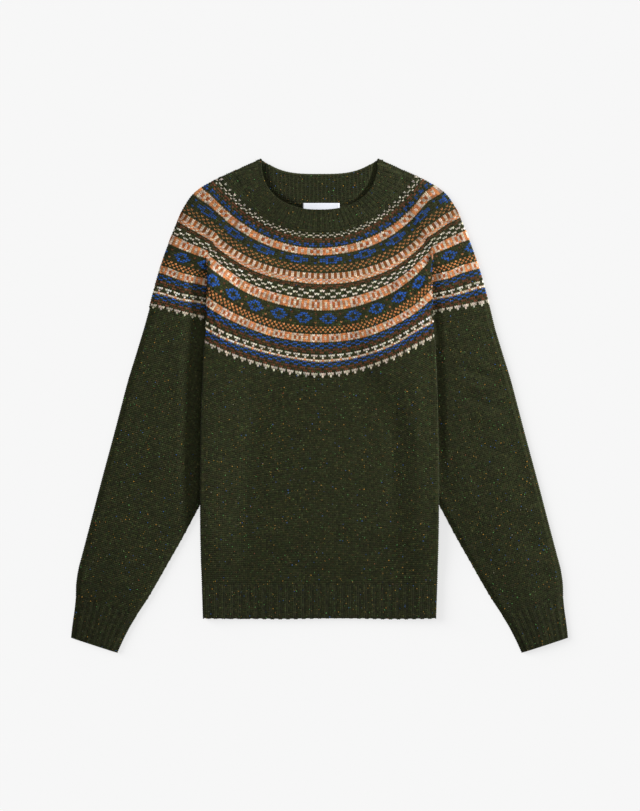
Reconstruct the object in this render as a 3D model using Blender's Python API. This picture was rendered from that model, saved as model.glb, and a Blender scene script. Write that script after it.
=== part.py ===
"""Fair isle yoke jumper laid flat on its back, front up.  Metres, +Z up.

+Y is the neck end, +X the wearer's left, z = 0 the surface that it lies on.
The body's sides are turned under along a fold, and the sleeves lie under those folds.
Every piece is a wall: a grid of outer points and a grid of inner points one wall inside it.
"""
import math

import bmesh
import bpy
from mathutils import Vector

MM = 0.001

# Cloth and layers
WALL = 2.0 * MM               # knitted cloth
SEAM_GAP = 0.3 * MM           # between the pieces at a seam
NECK_SEAM_GAP = 0.5 * MM      # at the neck band's curved seam
LAYER_GAP = 0.4 * MM          # between cloths that lie on each other
EDGE_RADIUS = 2.5 * MM        # outside of a flattened sleeve's or shoulder's fold
LOFT = 7.5 * MM               # top of the front where only two cloths lie
SLEEVE_LOFT = 7.0 * MM        # top of a sleeve that nothing presses
PRESSED = 2 * EDGE_RADIUS     # top of a sleeve under the body
EDGE_RUN = 22 * MM            # run over which an edge rises to its full loft
FOLD_RADIUS = 5.0 * MM        # outside of the body's side fold, four cloths high
NECK_LIFT = 4.0 * MM          # how far the front neck edge stands up

# Lengths along the garment
HEM_Y = -314.9 * MM
HEM_RIB = 50 * MM
APEX_Y = 219.7 * MM           # where the body's side fold starts on the yoke
SLEEVE_EXIT_Y = -150 * MM     # where the sleeve comes out from under the fold
SETTLE_Y = -190 * MM          # below here the body's sides sink to the surface
TURN_UNDER = 95 * MM          # side of the body that is turned under
SLOPE_X = 72 * MM             # run from the centre up to the folded sides
MIDDLE_LIFT = 3.0 * MM        # how far the middle hangs clear where the sides lie on the sleeves

# Ribs
RIB_HEIGHT = 0.8 * MM
HEM_RIB_PITCH = 12 * MM
NECK_RIBS = 32                # over the front half of the neck band
CUFF_RIBS = 10                # over the top of a cuff
RIB_STEPS = ((0.0, 0.0), (0.2, 1.0), (0.55, 1.0), (0.75, 0.0))   # place in one rib, height

# Neck: half width of the opening, its edge in front and behind
NECK_HALF = 86.5 * MM
SHOULDER_Y = 366.0 * MM
NECK_FRONT_Y = 289.5 * MM
NECK_BACK_Y = 342.8 * MM
NECK_FRONT_POWER = 2.2
NECK_BACK_POWER = 3.3
RIB_SHARE = (0.83, 0.58, 0.78)    # rib's share of the way to the first ring: front, shoulder, back
CREST_SHARE = 0.76                # fold line's place on the neck rings, from the centre outwards
FOOT_SHARE = 0.80

# Label, sewn inside the back neck
LABEL_SIZE = (56 * MM, 26 * MM, 0.8 * MM)
LABEL_TOP_Y = 299.5 * MM

# Outer edge of shoulder and sleeve: place along the garment, half width there
OUTLINE = (
    {"y": 366.0, "x": 86.5},
    {"y": 352.0, "x": 115.5},
    {"y": 336.5, "x": 150.4},
    {"y": 318.0, "x": 178.8},
    {"y": 298.0, "x": 197.1},
    {"y": 272.9, "x": 209.9},
    {"y": 244.8, "x": 221.3},
    {"y": 204.9, "x": 235.8},
    {"y": 153.2, "x": 250.6},
    {"y": 113.3, "x": 260.2},
)

# Body's side fold: place along the garment, half width there
BODY_SIDE = (
    {"y": 219.7, "x": 167.8},
    {"y": 156.2, "x": 167.0},
    {"y": 89.6, "x": 170.9},
    {"y": 5.4, "x": 174.4},
    {"y": -86.2, "x": 176.2},
    {"y": -149.8, "x": 176.6},
    {"y": -216.3, "x": 175.6},
    {"y": -314.9, "x": 172.8},
)

# First ring round the neck: its centre in front, its outer edge, its centre behind
CHAIN = {"centre": 253.7, "x": 150.4, "y": 336.5, "back": 287.7, "power": 2.25}

# Yoke rings below it: front centre, crest and foot of the side fold, place of the outer
# edge, back centre, and the power of the front curve
RING_COLUMNS = ("centre", "crest_x", "crest_y", "foot_x", "foot_y", "outer", "back", "power")
RING_ROWS = (
    (227.8, 132.0, 274.6, 139.0, 281.3, 317.3, 262.0, 2.3),
    (187.2, 150.0, 238.4, 158.0, 245.0, 275.9, 212.0, 2.5),
    (148.0, 163.5, 212.3, 173.0, 223.5, 244.8, 163.0, 2.2),
    (100.0, 166.0, 153.2, 175.0, 184.2, 200.5, 108.0, 2.2),
    (44.4, 168.5, 95.5, 178.0, 136.6, 152.0, 44.4, 1.75),
)
RINGS = [dict(zip(RING_COLUMNS, row)) for row in RING_ROWS]
BACK_CREST_IN = 7.5 * MM      # back's fold line, inside the front's
BACK_FOOT_IN = 6.5 * MM

# Sleeve sections: outer edge's place, width along the section, section's tilt in degrees
SLEEVE = (
    {"y": 113.3, "x": 260.2, "width": 195.5, "tilt": 14.9},
    {"y": 74.9, "x": 271.9, "width": 191.7, "tilt": 15.1},
    {"y": 37.9, "x": 283.3, "width": 186.4, "tilt": 15.4},
    {"y": -2.0, "x": 293.8, "width": 177.2, "tilt": 15.6},
    {"y": -50.8, "x": 306.6, "width": 164.2, "tilt": 16.0},
    {"y": -90.7, "x": 317.4, "width": 154.4, "tilt": 16.3},
    {"y": -129.1, "x": 327.6, "width": 145.2, "tilt": 16.5},
    {"y": -161.6, "x": 336.0, "width": 136.9, "tilt": 16.7},
    {"y": -195.6, "x": 344.9, "width": 127.4, "tilt": 17.0},
    {"y": -222.2, "x": 351.9, "width": 120.2, "tilt": 17.2},
    {"y": -241.4, "x": 356.9, "width": 114.7, "tilt": 17.3},
    {"y": -262.1, "x": 360.1, "width": 106.2, "tilt": 17.4},
    {"y": -282.1, "x": 360.8, "width": 95.3, "tilt": 17.6},
)
CUFF = (
    {"y": -282.1, "x": 360.8, "width": 95.3, "tilt": 17.6},
    {"y": -302.0, "x": 362.9, "width": 86.4, "tilt": 17.7},
    {"y": -322.7, "x": 365.8, "width": 79.4, "tilt": 17.9},
    {"y": -343.3, "x": 368.1, "width": 72.8, "tilt": 18.0},
)

SEAM_FOOT = 75.5 * MM         # width at which a sleeve's end leaves the yoke's seam
HIDDEN_END = 4.5 * MM         # how far its hidden end reaches past the first section

# Points across and along the walls
FRONT_COLUMNS = 12            # yoke, centre to crest
SIDE_COLUMNS = 5              # yoke, foot to outer edge
BACK_COLUMNS = 8              # yoke, behind
EDGE_ANGLES = (50, 0, -50)    # round an outer fold, degrees
NECK_BACK_COLUMNS = 14
LAST_RIB_SHARE = 0.96         # the neck band's ribs stop just short of the outer fold
CURVE_STEPS = 60
ARC_STEPS = 6                 # round the body's side fold
STRIP_COLUMNS = 3             # over the turned-under side
BODY_ROWS = (0.0, 0.1, 0.21, 0.35, 0.5, 0.65, 0.8, 0.9, 1.0)   # shares from hem rib to yoke
BODY_ACROSS = (0.0, 0.08, 0.17, 0.26, 0.35, 0.43, 0.5, 0.62, 0.74, 0.87, 1.0)
SLEEVE_ACROSS = (10, 24, 40, 58, 75.5, 92, 110, 130, 150, 170)   # mm over the first section
SLEEVE_UNDER_COLUMNS = 6

YARN_GREEN = (0.0265, 0.0285, 0.0137)
YOKE_MIX = (0.12, 0.075, 0.045)
LABEL_WHITE = (0.86, 0.86, 0.88)


# Curves and heights

def smooth(value):
    """0 below 0, 1 above 1, and a soft step between."""
    value = min(1.0, max(0.0, value))
    return value * value * (3.0 - 2.0 * value)


def mix(a, b, share):
    return a + (b - a) * share


def half_width(table, y):
    """Half width in metres at y, read smoothly from a table that runs down the garment."""
    places = [row["y"] * MM for row in table]
    widths = [row["x"] * MM for row in table]
    y = min(places[0], max(places[-1], y))
    slopes = []
    for i in range(len(table)):
        before = max(0, i - 1)
        after = min(len(table) - 1, i + 1)
        slopes.append((widths[after] - widths[before]) / (places[after] - places[before]))
    i = 0
    while i < len(table) - 2 and y < places[i + 1]:
        i += 1
    run = places[i + 1] - places[i]
    t = (y - places[i]) / run
    start = (2 * t**3 - 3 * t**2 + 1) * widths[i] + (t**3 - 2 * t**2 + t) * run * slopes[i]
    end = (3 * t**2 - 2 * t**3) * widths[i + 1] + (t**3 - t**2) * run * slopes[i + 1]
    return start + end


def body_settle(y):
    """1 where the body's sides lie on the sleeves, 0 where they lie on the surface."""
    return smooth((y - (HEM_Y + HEM_RIB)) / (SETTLE_Y - (HEM_Y + HEM_RIB)))


def body_base(y):
    """Height of what the body's turned-under side lies on."""
    return (PRESSED + SEAM_GAP) * body_settle(y)


def panel_rise(x, y, base_y, side):
    """Height over the flat that the folded sides give a panel, side at the folds.

    base_y is the place of the point's row at the side fold.
    """
    middle = MIDDLE_LIFT * body_settle(base_y)
    fade = smooth((APEX_Y - y) / (APEX_Y - RINGS[-1]["crest_y"] * MM))
    return mix(middle, side, smooth(abs(x) / SLOPE_X)) * fade


def front_height(x, y, base_y):
    """Top of the front."""
    side = body_base(base_y) + 2 * FOLD_RADIUS - LOFT
    return LOFT + panel_rise(x, y, base_y, side)


def back_height(x, y, base_y):
    """Underside of the back."""
    side = body_base(base_y) + 2 * FOLD_RADIUS - 2 * WALL - LAYER_GAP
    return panel_rise(x, y, base_y, side)


def sleeve_height(x, y):
    """Top of a sleeve, pressed flat where the body lies on it."""
    beside = 1.0 - smooth((abs(x) - half_width(BODY_SIDE, y) - 3 * MM) / (32 * MM))
    under = smooth((APEX_Y - y) / (60 * MM)) * smooth((y - SLEEVE_EXIT_Y) / (50 * MM) + 1.0)
    return mix(SLEEVE_LOFT, PRESSED, beside * under)


def rounded(height, from_edge):
    """A height brought down to the folded edge's within EDGE_RUN of it."""
    return mix(2 * EDGE_RADIUS, height, smooth(from_edge / EDGE_RUN))


# Meshes

def material(name, colour, roughness):
    made = bpy.data.materials.new(name)
    made.use_nodes = True
    shader = made.node_tree.nodes["Principled BSDF"]
    shader.inputs["Base Color"].default_value = (*colour, 1.0)
    shader.inputs["Roughness"].default_value = roughness
    shader.inputs["Metallic"].default_value = 0.0
    return made


def upright(normal, across, down):
    """Normal at a seam, turned so that the wall's end stands upright and meets its neighbour's."""
    way = Vector((down.x, down.y, 0.0))
    level = Vector((across.x, across.y, 0.0))
    if level.length > 0.2:
        way -= level * (way.dot(level) / level.length_squared)
    way.normalize()
    return (normal - way * normal.dot(way)).normalized()


def grid_normals(grid, closed):
    """Unit normal at each point of a grid of rows, each row closed or open."""
    rows = len(grid)
    columns = len(grid[0])
    normals = []
    for r in range(rows):
        line = []
        for c in range(columns):
            if closed:
                before = (c - 1) % columns
                after = (c + 1) % columns
            else:
                before = max(0, c - 1)
                after = min(columns - 1, c + 1)
            to_before = (grid[r][c] - grid[r][before]).normalized()
            to_after = (grid[r][after] - grid[r][c]).normalized()
            across = to_before + to_after
            down = grid[min(rows - 1, r + 1)][c] - grid[max(0, r - 1)][c]
            normal = across.cross(down).normalized()
            if r in (0, rows - 1):
                normal = upright(normal, across, down)
            line.append(normal)
        normals.append(line)
    return normals


def wall(name, grid, closed, paint, raised=None, turned=False):
    """A closed wall WALL thick inside a grid; raised gives the ribs' height at each point."""
    normals = grid_normals(grid, closed)
    side = -1.0 if turned else 1.0
    rows = len(grid)
    columns = len(grid[0])
    outer = []
    inner = []
    for r in range(rows):
        for c in range(columns):
            normal = normals[r][c] * side
            lift = raised[r][c] if raised else 0.0
            outer.append(grid[r][c] + normal * lift)
            inner.append(grid[r][c] - normal * WALL)
    inside = rows * columns
    faces = []
    last = columns if closed else columns - 1
    for c in range(last):
        d = (c + 1) % columns
        for r in range(rows - 1):
            a = r * columns
            b = (r + 1) * columns
            faces.append((a + c, a + d, b + d, b + c))
            faces.append((inside + a + c, inside + b + c, inside + b + d, inside + a + d))
        end = (rows - 1) * columns
        faces.append((c, inside + c, inside + d, d))
        faces.append((end + c, end + d, inside + end + d, inside + end + c))
    if not closed:
        for r in range(rows - 1):
            a = r * columns
            b = (r + 1) * columns
            faces.append((a, b, inside + b, inside + a))
            a += columns - 1
            b += columns - 1
            faces.append((a, inside + a, inside + b, b))
    if turned:
        faces = [tuple(reversed(face)) for face in faces]
    mesh = bpy.data.meshes.new(name)
    mesh.from_pydata(outer + inner, [], faces)
    mesh.update()
    mesh.materials.append(paint)
    piece = bpy.data.objects.new(name, mesh)
    bpy.context.scene.collection.objects.link(piece)
    return piece


def rib_columns(start, end, count):
    """Places and heights along a ribbed stretch of count ribs, from start to end."""
    pitch = (end - start) / count
    columns = []
    for rib in range(count):
        for place, height in RIB_STEPS:
            columns.append((start + (rib + place) * pitch, height * RIB_HEIGHT))
    return columns


# Neck and yoke: closed rings, each front half from the centre out and back half behind it

def along(points, share):
    """Point at a share of the length of a line of points."""
    lengths = [0.0]
    for a, b in zip(points, points[1:]):
        lengths.append(lengths[-1] + (b - a).length)
    target = share * lengths[-1]
    for i in range(len(points) - 1):
        if target <= lengths[i + 1] or i == len(points) - 2:
            step = (target - lengths[i]) / (lengths[i + 1] - lengths[i])
            return points[i].lerp(points[i + 1], step)


def neck_edge_front():
    """Superellipse from the front centre to the shoulder point."""
    depth = SHOULDER_Y - NECK_FRONT_Y
    points = []
    for i in range(CURVE_STEPS + 1):
        angle = 0.5 * math.pi * i / CURVE_STEPS
        x = NECK_HALF * math.sin(angle) ** (2 / NECK_FRONT_POWER)
        y = SHOULDER_Y - depth * math.cos(angle) ** (2 / NECK_FRONT_POWER)
        points.append(Vector((x, y)))
    return points


def power_curve(x_end, y_end, y_centre, power):
    points = []
    for i in range(CURVE_STEPS + 1):
        share = i / CURVE_STEPS
        points.append(Vector((x_end * share, y_centre + (y_end - y_centre) * share**power)))
    return points


NECK_EDGE = neck_edge_front()
NECK_EDGE_BACK = power_curve(NECK_HALF, SHOULDER_Y, NECK_BACK_Y, NECK_BACK_POWER)
CHAIN_FRONT = power_curve(CHAIN["x"] * MM, CHAIN["y"] * MM, CHAIN["centre"] * MM, CHAIN["power"])
CHAIN_BACK = power_curve(CHAIN["x"] * MM, CHAIN["y"] * MM, CHAIN["back"] * MM, CHAIN["power"])


def column_share(column):
    """A column's share of a neck ring: 0 to 1 centre to crest, to 2 foot, to 3 outer edge."""
    if column <= 1.0:
        return CREST_SHARE * column
    if column <= 2.0:
        return mix(CREST_SHARE, FOOT_SHARE, column - 1.0)
    return mix(FOOT_SHARE, 1.0, column - 2.0)


def neck_point(share, depth, back):
    """Plan point on the neck band (depth 0 at its edge, 1 at its seam, 2 at the first ring).

    share runs along the ring, from 0 at the centre to 1 at the outer edge.
    """
    edge = along(NECK_EDGE_BACK if back else NECK_EDGE, share)
    ring = along(CHAIN_BACK if back else CHAIN_FRONT, share)
    at_centre = RIB_SHARE[2] if back else RIB_SHARE[0]
    seam = mix(at_centre, RIB_SHARE[1], share)
    reach = seam * depth if depth <= 1.0 else mix(seam, 1.0, depth - 1.0)
    return edge.lerp(ring, reach)


def ring_point(ring, column, back):
    """Plan point on a yoke ring."""
    outer_y = ring["outer"] * MM
    outer = Vector((half_width(OUTLINE, outer_y), outer_y))
    crest = Vector((ring["crest_x"], ring["crest_y"])) * MM
    foot = Vector((ring["foot_x"], ring["foot_y"])) * MM
    centre = ring["centre"] * MM
    if back:
        crest.x -= BACK_CREST_IN
        foot.x -= BACK_FOOT_IN
        centre = ring["back"] * MM
    if column <= 1.0:
        rise = (crest.y - centre) * column ** ring["power"]
        return Vector((crest.x * column, centre + rise))
    if column <= 2.0:
        return crest.lerp(foot, column - 1.0)
    return foot.lerp(outer, column - 2.0)


def outer_place(row):
    """Place along the garment of the outer edge of a yoke row."""
    places = [CHAIN["y"]] + [ring["outer"] for ring in RINGS]
    whole = min(int(row) - 1, len(places) - 2)
    return mix(places[whole], places[whole + 1], row - 1.0 - whole) * MM


def yoke_plan(row, column, back):
    """Plan point on a yoke row: 0 the neck seam, 1 the first ring, then a row for each ring."""
    if row <= 1.0:
        return neck_point(column_share(column), 1.0 + row, back)
    level = row - 1.0
    whole = min(int(level), len(RINGS) - 1)
    if whole == 0:
        upper = neck_point(column_share(column), 2.0, back)
    else:
        upper = ring_point(RINGS[whole - 1], column, back)
    lower = ring_point(RINGS[whole], column, back)
    point = upper.lerp(lower, level - whole)
    if column > 2.0:
        upper_x = half_width(OUTLINE, outer_place(whole + 1.0))
        lower_x = half_width(OUTLINE, outer_place(whole + 2.0))
        bulge = half_width(OUTLINE, outer_place(row)) - mix(upper_x, lower_x, level - whole)
        point.x += bulge * (column - 2.0)
    return point


def ring_half(plan, height, outer, tangent, front_columns, back_columns):
    """One half ring of 3-D points, front centre round the outer edge to the back centre.

    plan(column, back) gives plan points, height(point, column, back) their height, outer
    is the outer edge's point and tangent its direction down the garment.
    """
    inward = Vector((tangent.y, -tangent.x)).normalized()
    points = []
    for column in front_columns:
        point = plan(column, False)
        from_edge = (point - outer).length
        top = height(point, column, False)
        points.append(Vector((point.x, point.y, rounded(top, from_edge))))
    for angle in (90,) + EDGE_ANGLES + (-90,):
        turn = math.radians(angle)
        place = outer + inward * EDGE_RADIUS * (1.0 - math.cos(turn))
        points.append(Vector((place.x, place.y, EDGE_RADIUS * (1.0 + math.sin(turn)))))
    for column in back_columns:
        point = plan(column, True)
        points.append(Vector((point.x, point.y, height(point, column, True))))
    return points


def whole_ring(half):
    """A half ring and its mirror image, as one closed ring that starts at the front centre."""
    mirrored = [Vector((-p.x, p.y, p.z)) for p in reversed(half[1:-1])]
    return half + mirrored


def neck_lift(depth, share):
    """Extra height of the front near the neck edge; depth and share count as in neck_point."""
    return NECK_LIFT * (1.0 - smooth(depth / 3.0)) * (1.0 - smooth(share))


def yoke_ring(row, shift):
    """Ring of the yoke at a row, moved by shift along the cloth, away from the neck."""
    step = 0.02

    def plan(column, back):
        here = yoke_plan(row, column, back)
        if shift == 0.0:
            return here
        near = min(row, len(RINGS) - step)
        way = yoke_plan(near + step, column, back) - yoke_plan(near, column, back)
        return here + way.normalized() * shift

    def height(point, column, back):
        if back:
            return back_height(point.x, point.y, point.y) if column <= 1.0 else 0.0
        lift = neck_lift(1.0 + row, column_share(column))
        if column <= 1.0:
            return front_height(point.x, point.y, point.y) + lift
        return sleeve_height(point.x, point.y) + lift

    near = min(row, len(RINGS) - step)
    tangent = yoke_plan(near + step, 3.0, False) - yoke_plan(near, 3.0, False)
    front = [i / FRONT_COLUMNS for i in range(FRONT_COLUMNS + 1)]
    front += [2.0 + i / SIDE_COLUMNS for i in range(SIDE_COLUMNS)]
    back = [2.0 + i / SIDE_COLUMNS for i in range(SIDE_COLUMNS - 1, -1, -1)]
    back += [1.0 - i / BACK_COLUMNS for i in range(BACK_COLUMNS + 1)]
    outer = plan(3.0, False)
    return whole_ring(ring_half(plan, height, outer, tangent, front, back))


def make_yoke(paint):
    rows = [(0.0, NECK_SEAM_GAP), (1.0, 0.0), (2.0, 0.0), (2.5, 0.0), (3.0, 0.0), (3.5, 0.0)]
    rows += [(4.0, 0.0), (4.5, 0.0), (5.0, 0.0), (5.5, 0.0), (6.0, 0.0)]
    grid = [yoke_ring(row, shift) for row, shift in rows]
    wall("yoke", grid, True, paint, turned=True)


def make_neck_rib(paint):
    ribs = rib_columns(0.0, LAST_RIB_SHARE, NECK_RIBS // 2)
    front = [place for place, height in ribs]
    heights = [height for place, height in ribs]
    back = [LAST_RIB_SHARE * (1.0 - i / NECK_BACK_COLUMNS) for i in range(NECK_BACK_COLUMNS + 1)]
    plain = [0.0] * (2 + len(EDGE_ANGLES) + len(back))
    half_heights = heights + plain
    grid = []
    for depth in (0.0, 0.5, 1.0):

        def plan(share, back_side):
            return neck_point(share, depth, back_side)

        def height(point, share, back_side):
            return 0.0 if back_side else LOFT + neck_lift(depth, share)

        outer = neck_point(1.0, depth, False)
        tangent = neck_point(1.0, 1.0, False) - neck_point(1.0, 0.0, False)
        grid.append(whole_ring(ring_half(plan, height, outer, tangent, front, back)))
    raised = half_heights + list(reversed(half_heights[1:-1]))
    wall("neck_rib", grid, True, paint, [raised] * len(grid), turned=True)


# Body: each panel runs from one side seam, under, round the fold, over the top and back under

def seam_y(x):
    """Lower edge of the yoke over the body."""
    ring = RINGS[-1]
    share = min(1.0, abs(x) / (ring["crest_x"] * MM))
    return mix(ring["centre"], ring["crest_y"], share ** ring["power"]) * MM


def panel_row(row_y, inset, top, across, y_at):
    """Open row of a panel: row_y its place at the fold, inset how far it lies inside the front.

    top(x) is its outer height over the top, across the places there as shares of the half
    width, and y_at(x) each point's place along the garment.
    """
    base = body_base(row_y)
    wide = half_width(BODY_SIDE, row_y)
    radius = FOLD_RADIUS - inset
    turn_x = wide - FOLD_RADIUS
    half = [(turn_x * share, top(turn_x * share)) for share in across]
    for i in range(1, ARC_STEPS + 1):
        angle = math.pi * (0.5 - i / ARC_STEPS)
        half.append((turn_x + radius * math.cos(angle), base + FOLD_RADIUS + radius * math.sin(angle)))
    for i in range(1, STRIP_COLUMNS + 1):
        x = mix(turn_x, wide - TURN_UNDER, i / STRIP_COLUMNS)
        half.append((x, base + inset))
    right = [Vector((x, y_at(x), z)) for x, z in half]
    left = [Vector((-p.x, p.y, p.z)) for p in reversed(right[1:])]
    return left + right


def make_panel(name, inset, paint):
    hem = HEM_Y + HEM_RIB + SEAM_GAP
    fold_top = RINGS[-1]["crest_y"] * MM - SEAM_GAP
    grid = []
    for share in BODY_ROWS:
        row_y = mix(hem, fold_top, share)

        def y_at(x):
            return mix(hem, seam_y(x) - SEAM_GAP, share)

        def top(x):
            if inset == 0.0:
                return front_height(x, HEM_Y, row_y)
            return back_height(x, HEM_Y, row_y) + WALL

        grid.append(panel_row(row_y, inset, top, BODY_ACROSS, y_at))
    wall(name, grid, False, paint)


def make_hem_rib(name, inset, paint):
    base_y = HEM_Y + HEM_RIB
    ribbed = inset == 0.0
    turn_x = half_width(BODY_SIDE, HEM_Y) - FOLD_RADIUS
    across = list(BODY_ACROSS)
    heights = [0.0] * len(across)
    if ribbed:
        columns = rib_columns(0.0, 1.0, round(turn_x / HEM_RIB_PITCH))
        across = [place for place, height in columns] + [1.0]
        heights = [height for place, height in columns] + [0.0]
    plain = [0.0] * (ARC_STEPS + STRIP_COLUMNS)
    half_heights = heights + plain
    raised = list(reversed(half_heights[1:])) + half_heights
    grid = []
    for y in (HEM_Y, mix(HEM_Y, base_y, 0.5), base_y):

        def y_at(x):
            return y

        def top(x):
            if ribbed:
                return front_height(x, HEM_Y, base_y)
            return back_height(x, HEM_Y, base_y) + WALL

        grid.append(panel_row(y, inset, top, across, y_at))
    wall(name, grid, False, paint, [raised] * len(grid))


# Sleeves and cuffs: closed flattened tubes

def tube_section(row, side, across, under, height, end=None):
    """Closed section of a sleeve; across and under are places over its top and underside."""
    tilt = math.radians(row["tilt"])
    width = row["width"] * MM
    start = Vector((row["x"], row["y"])) * MM
    way = Vector((-math.cos(tilt), -math.sin(tilt)))
    points = []

    def add(distance, z):
        place = end(distance) if end else start + way * distance
        points.append(Vector((side * place.x, place.y, z)))

    for angle in (-45, 0, 45):
        turn = math.radians(angle)
        add(EDGE_RADIUS * (1.0 - math.cos(turn)), EDGE_RADIUS * (1.0 + math.sin(turn)))
    for distance in across:
        place = start + way * distance
        from_edge = min(distance, width - distance) - EDGE_RADIUS
        add(distance, rounded(height(place.x, place.y), from_edge))
    for angle in (45, 0, -45):
        turn = math.radians(angle)
        add(width - EDGE_RADIUS * (1.0 - math.cos(turn)), EDGE_RADIUS * (1.0 + math.sin(turn)))
    for distance in under:
        add(distance, 0.0)
    return points


def tube_places(width):
    """Places over the top and under a plain section of this width."""
    inner = width - EDGE_RADIUS
    scale = width / (SLEEVE[0]["width"] * MM)
    across = [EDGE_RADIUS] + [place * MM * scale for place in SLEEVE_ACROSS] + [inner]
    under = [mix(inner, EDGE_RADIUS, i / SLEEVE_UNDER_COLUMNS) for i in range(SLEEVE_UNDER_COLUMNS + 1)]
    return across, under


def make_sleeve(name, side, paint):
    first = SLEEVE[0]
    ring = RINGS[-1]
    outer_y = ring["outer"] * MM
    corner = Vector((half_width(OUTLINE, outer_y), outer_y))
    foot = Vector((ring["foot_x"], ring["foot_y"])) * MM
    seam_way = (foot - corner).normalized()
    seam_down = Vector((-seam_way.y, seam_way.x))
    tilt = math.radians(first["tilt"])
    way = Vector((-math.cos(tilt), -math.sin(tilt)))
    start = Vector((first["x"], first["y"])) * MM

    def yoke_end(distance):
        if distance <= SEAM_FOOT:
            along_seam = distance / SEAM_FOOT * (foot - corner).length
            return corner + seam_way * along_seam + seam_down * SEAM_GAP
        return start + way * distance + Vector((0.0, HIDDEN_END))

    across, under = tube_places(first["width"] * MM)
    grid = [tube_section(first, side, across, under, sleeve_height, yoke_end)]
    for row in SLEEVE:
        across, under = tube_places(row["width"] * MM)
        grid.append(tube_section(row, side, across, under, sleeve_height))
    wall(name, grid, True, paint, turned=side < 0)


def make_cuff(name, side, paint):
    grid = []
    raised = []
    for index, row in enumerate(CUFF):
        width = row["width"] * MM
        ribs = rib_columns(EDGE_RADIUS, width - EDGE_RADIUS, CUFF_RIBS)
        across = [place for place, height in ribs] + [width - EDGE_RADIUS]
        under = tube_places(width)[1]
        heights = [0.0] * 3 + [height for place, height in ribs] + [0.0] * (4 + len(under))
        placed = dict(row)
        if index == 0:
            placed["y"] -= SEAM_GAP / MM
        grid.append(tube_section(placed, side, across, under, sleeve_height))
        raised.append(heights)
    wall(name, grid, True, paint, raised, turned=side < 0)


def make_label(paint):
    """Blank woven label that lies on the inside of the back, below the neck band."""
    width, height, thick = LABEL_SIZE
    middle = Vector((0.0, LABEL_TOP_Y - height / 2, WALL + SEAM_GAP + thick / 2))
    shape = bmesh.new()
    bmesh.ops.create_cube(shape, size=1.0)
    bmesh.ops.scale(shape, vec=LABEL_SIZE, verts=shape.verts)
    bmesh.ops.translate(shape, vec=middle, verts=shape.verts)
    mesh = bpy.data.meshes.new("neck_label")
    shape.to_mesh(mesh)
    shape.free()
    mesh.materials.append(paint)
    piece = bpy.data.objects.new("neck_label", mesh)
    bpy.context.scene.collection.objects.link(piece)


def build():
    for old in list(bpy.data.objects):
        bpy.data.objects.remove(old, do_unlink=True)
    green = material("green_wool", YARN_GREEN, 0.95)
    patterned = material("patterned_wool", YOKE_MIX, 0.95)
    woven = material("label_satin", LABEL_WHITE, 0.6)
    make_neck_rib(green)
    make_yoke(patterned)
    make_panel("body_front", 0.0, green)
    make_panel("body_back", WALL + LAYER_GAP, green)
    make_hem_rib("hem_rib_front", 0.0, green)
    make_hem_rib("hem_rib_back", WALL + LAYER_GAP, green)
    for side, word in ((1.0, "left"), (-1.0, "right")):
        make_sleeve("sleeve_" + word, side, green)
        make_cuff("cuff_" + word, side, green)
    make_label(woven)


build()
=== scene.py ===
import math

import bpy
import numpy as np
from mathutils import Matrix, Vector


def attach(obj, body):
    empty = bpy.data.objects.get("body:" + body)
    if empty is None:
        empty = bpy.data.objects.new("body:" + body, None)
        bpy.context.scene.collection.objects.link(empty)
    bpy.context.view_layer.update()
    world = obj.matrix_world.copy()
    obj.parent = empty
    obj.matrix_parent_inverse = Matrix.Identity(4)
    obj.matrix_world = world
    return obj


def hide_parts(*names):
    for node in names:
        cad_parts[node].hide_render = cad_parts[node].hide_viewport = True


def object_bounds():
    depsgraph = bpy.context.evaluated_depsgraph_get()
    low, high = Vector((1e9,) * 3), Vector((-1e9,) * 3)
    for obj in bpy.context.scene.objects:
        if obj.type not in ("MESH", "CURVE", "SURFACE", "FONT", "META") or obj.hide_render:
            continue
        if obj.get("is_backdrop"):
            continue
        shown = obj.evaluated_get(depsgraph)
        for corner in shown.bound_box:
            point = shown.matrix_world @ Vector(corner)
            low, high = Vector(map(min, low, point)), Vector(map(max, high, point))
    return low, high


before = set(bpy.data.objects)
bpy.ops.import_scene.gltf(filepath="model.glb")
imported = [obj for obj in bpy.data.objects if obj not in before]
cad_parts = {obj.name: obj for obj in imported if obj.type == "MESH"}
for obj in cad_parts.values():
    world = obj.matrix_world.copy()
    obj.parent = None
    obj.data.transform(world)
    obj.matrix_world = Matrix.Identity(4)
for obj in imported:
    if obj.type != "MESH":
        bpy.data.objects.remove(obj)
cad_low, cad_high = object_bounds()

MM = 0.001


# Table top, light and camera.  The jumper lies front up on a softly glowing white table, under a
# low lamp at the right, a broad one above its neck and a third that only throws the drop shadow.
# The camera hangs straight above.  Nothing here is part of the jumper.

TABLE_HALF = 40.0
TABLE_Z = -0.6 * MM
TABLE_GREY = (0.3, 0.3, 0.3, 1.0)
TABLE_GLOW = 0.716
WHITE = (1.0, 1.0, 1.0, 1.0)
SKY_STRENGTH = 0.33
SIDE_LAMP = ((3.27, 1.53, 1.72), 0.75, 208.0)      # place in metres, size, watts
TOP_LAMP = ((0.2, 1.25, 1.10), 1.10, 6.4)
SHADOW_LAMP = (-1.5, 1.0, 2.0)
SHADOW_WAY = (-0.80, 0.35, 0.42)
SHADOW_STRENGTH = 2.77
SHADOW_SPREAD = math.radians(40)
LENS = 120.0
SENSOR = 36.0
PIXELS_HIGH = 811
MM_PER_PIXEL = 1.478
FRAME_HIGH = PIXELS_HIGH * MM_PER_PIXEL * MM       # length of table that the camera takes in
FRAME_MIDDLE = (0.7 * MM, 0.2 * MM)
FRAME_Z = 8 * MM


def put(name, data):
    """A new object in the scene."""
    made = bpy.data.objects.new(name, data)
    bpy.context.scene.collection.objects.link(made)
    return made


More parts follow.
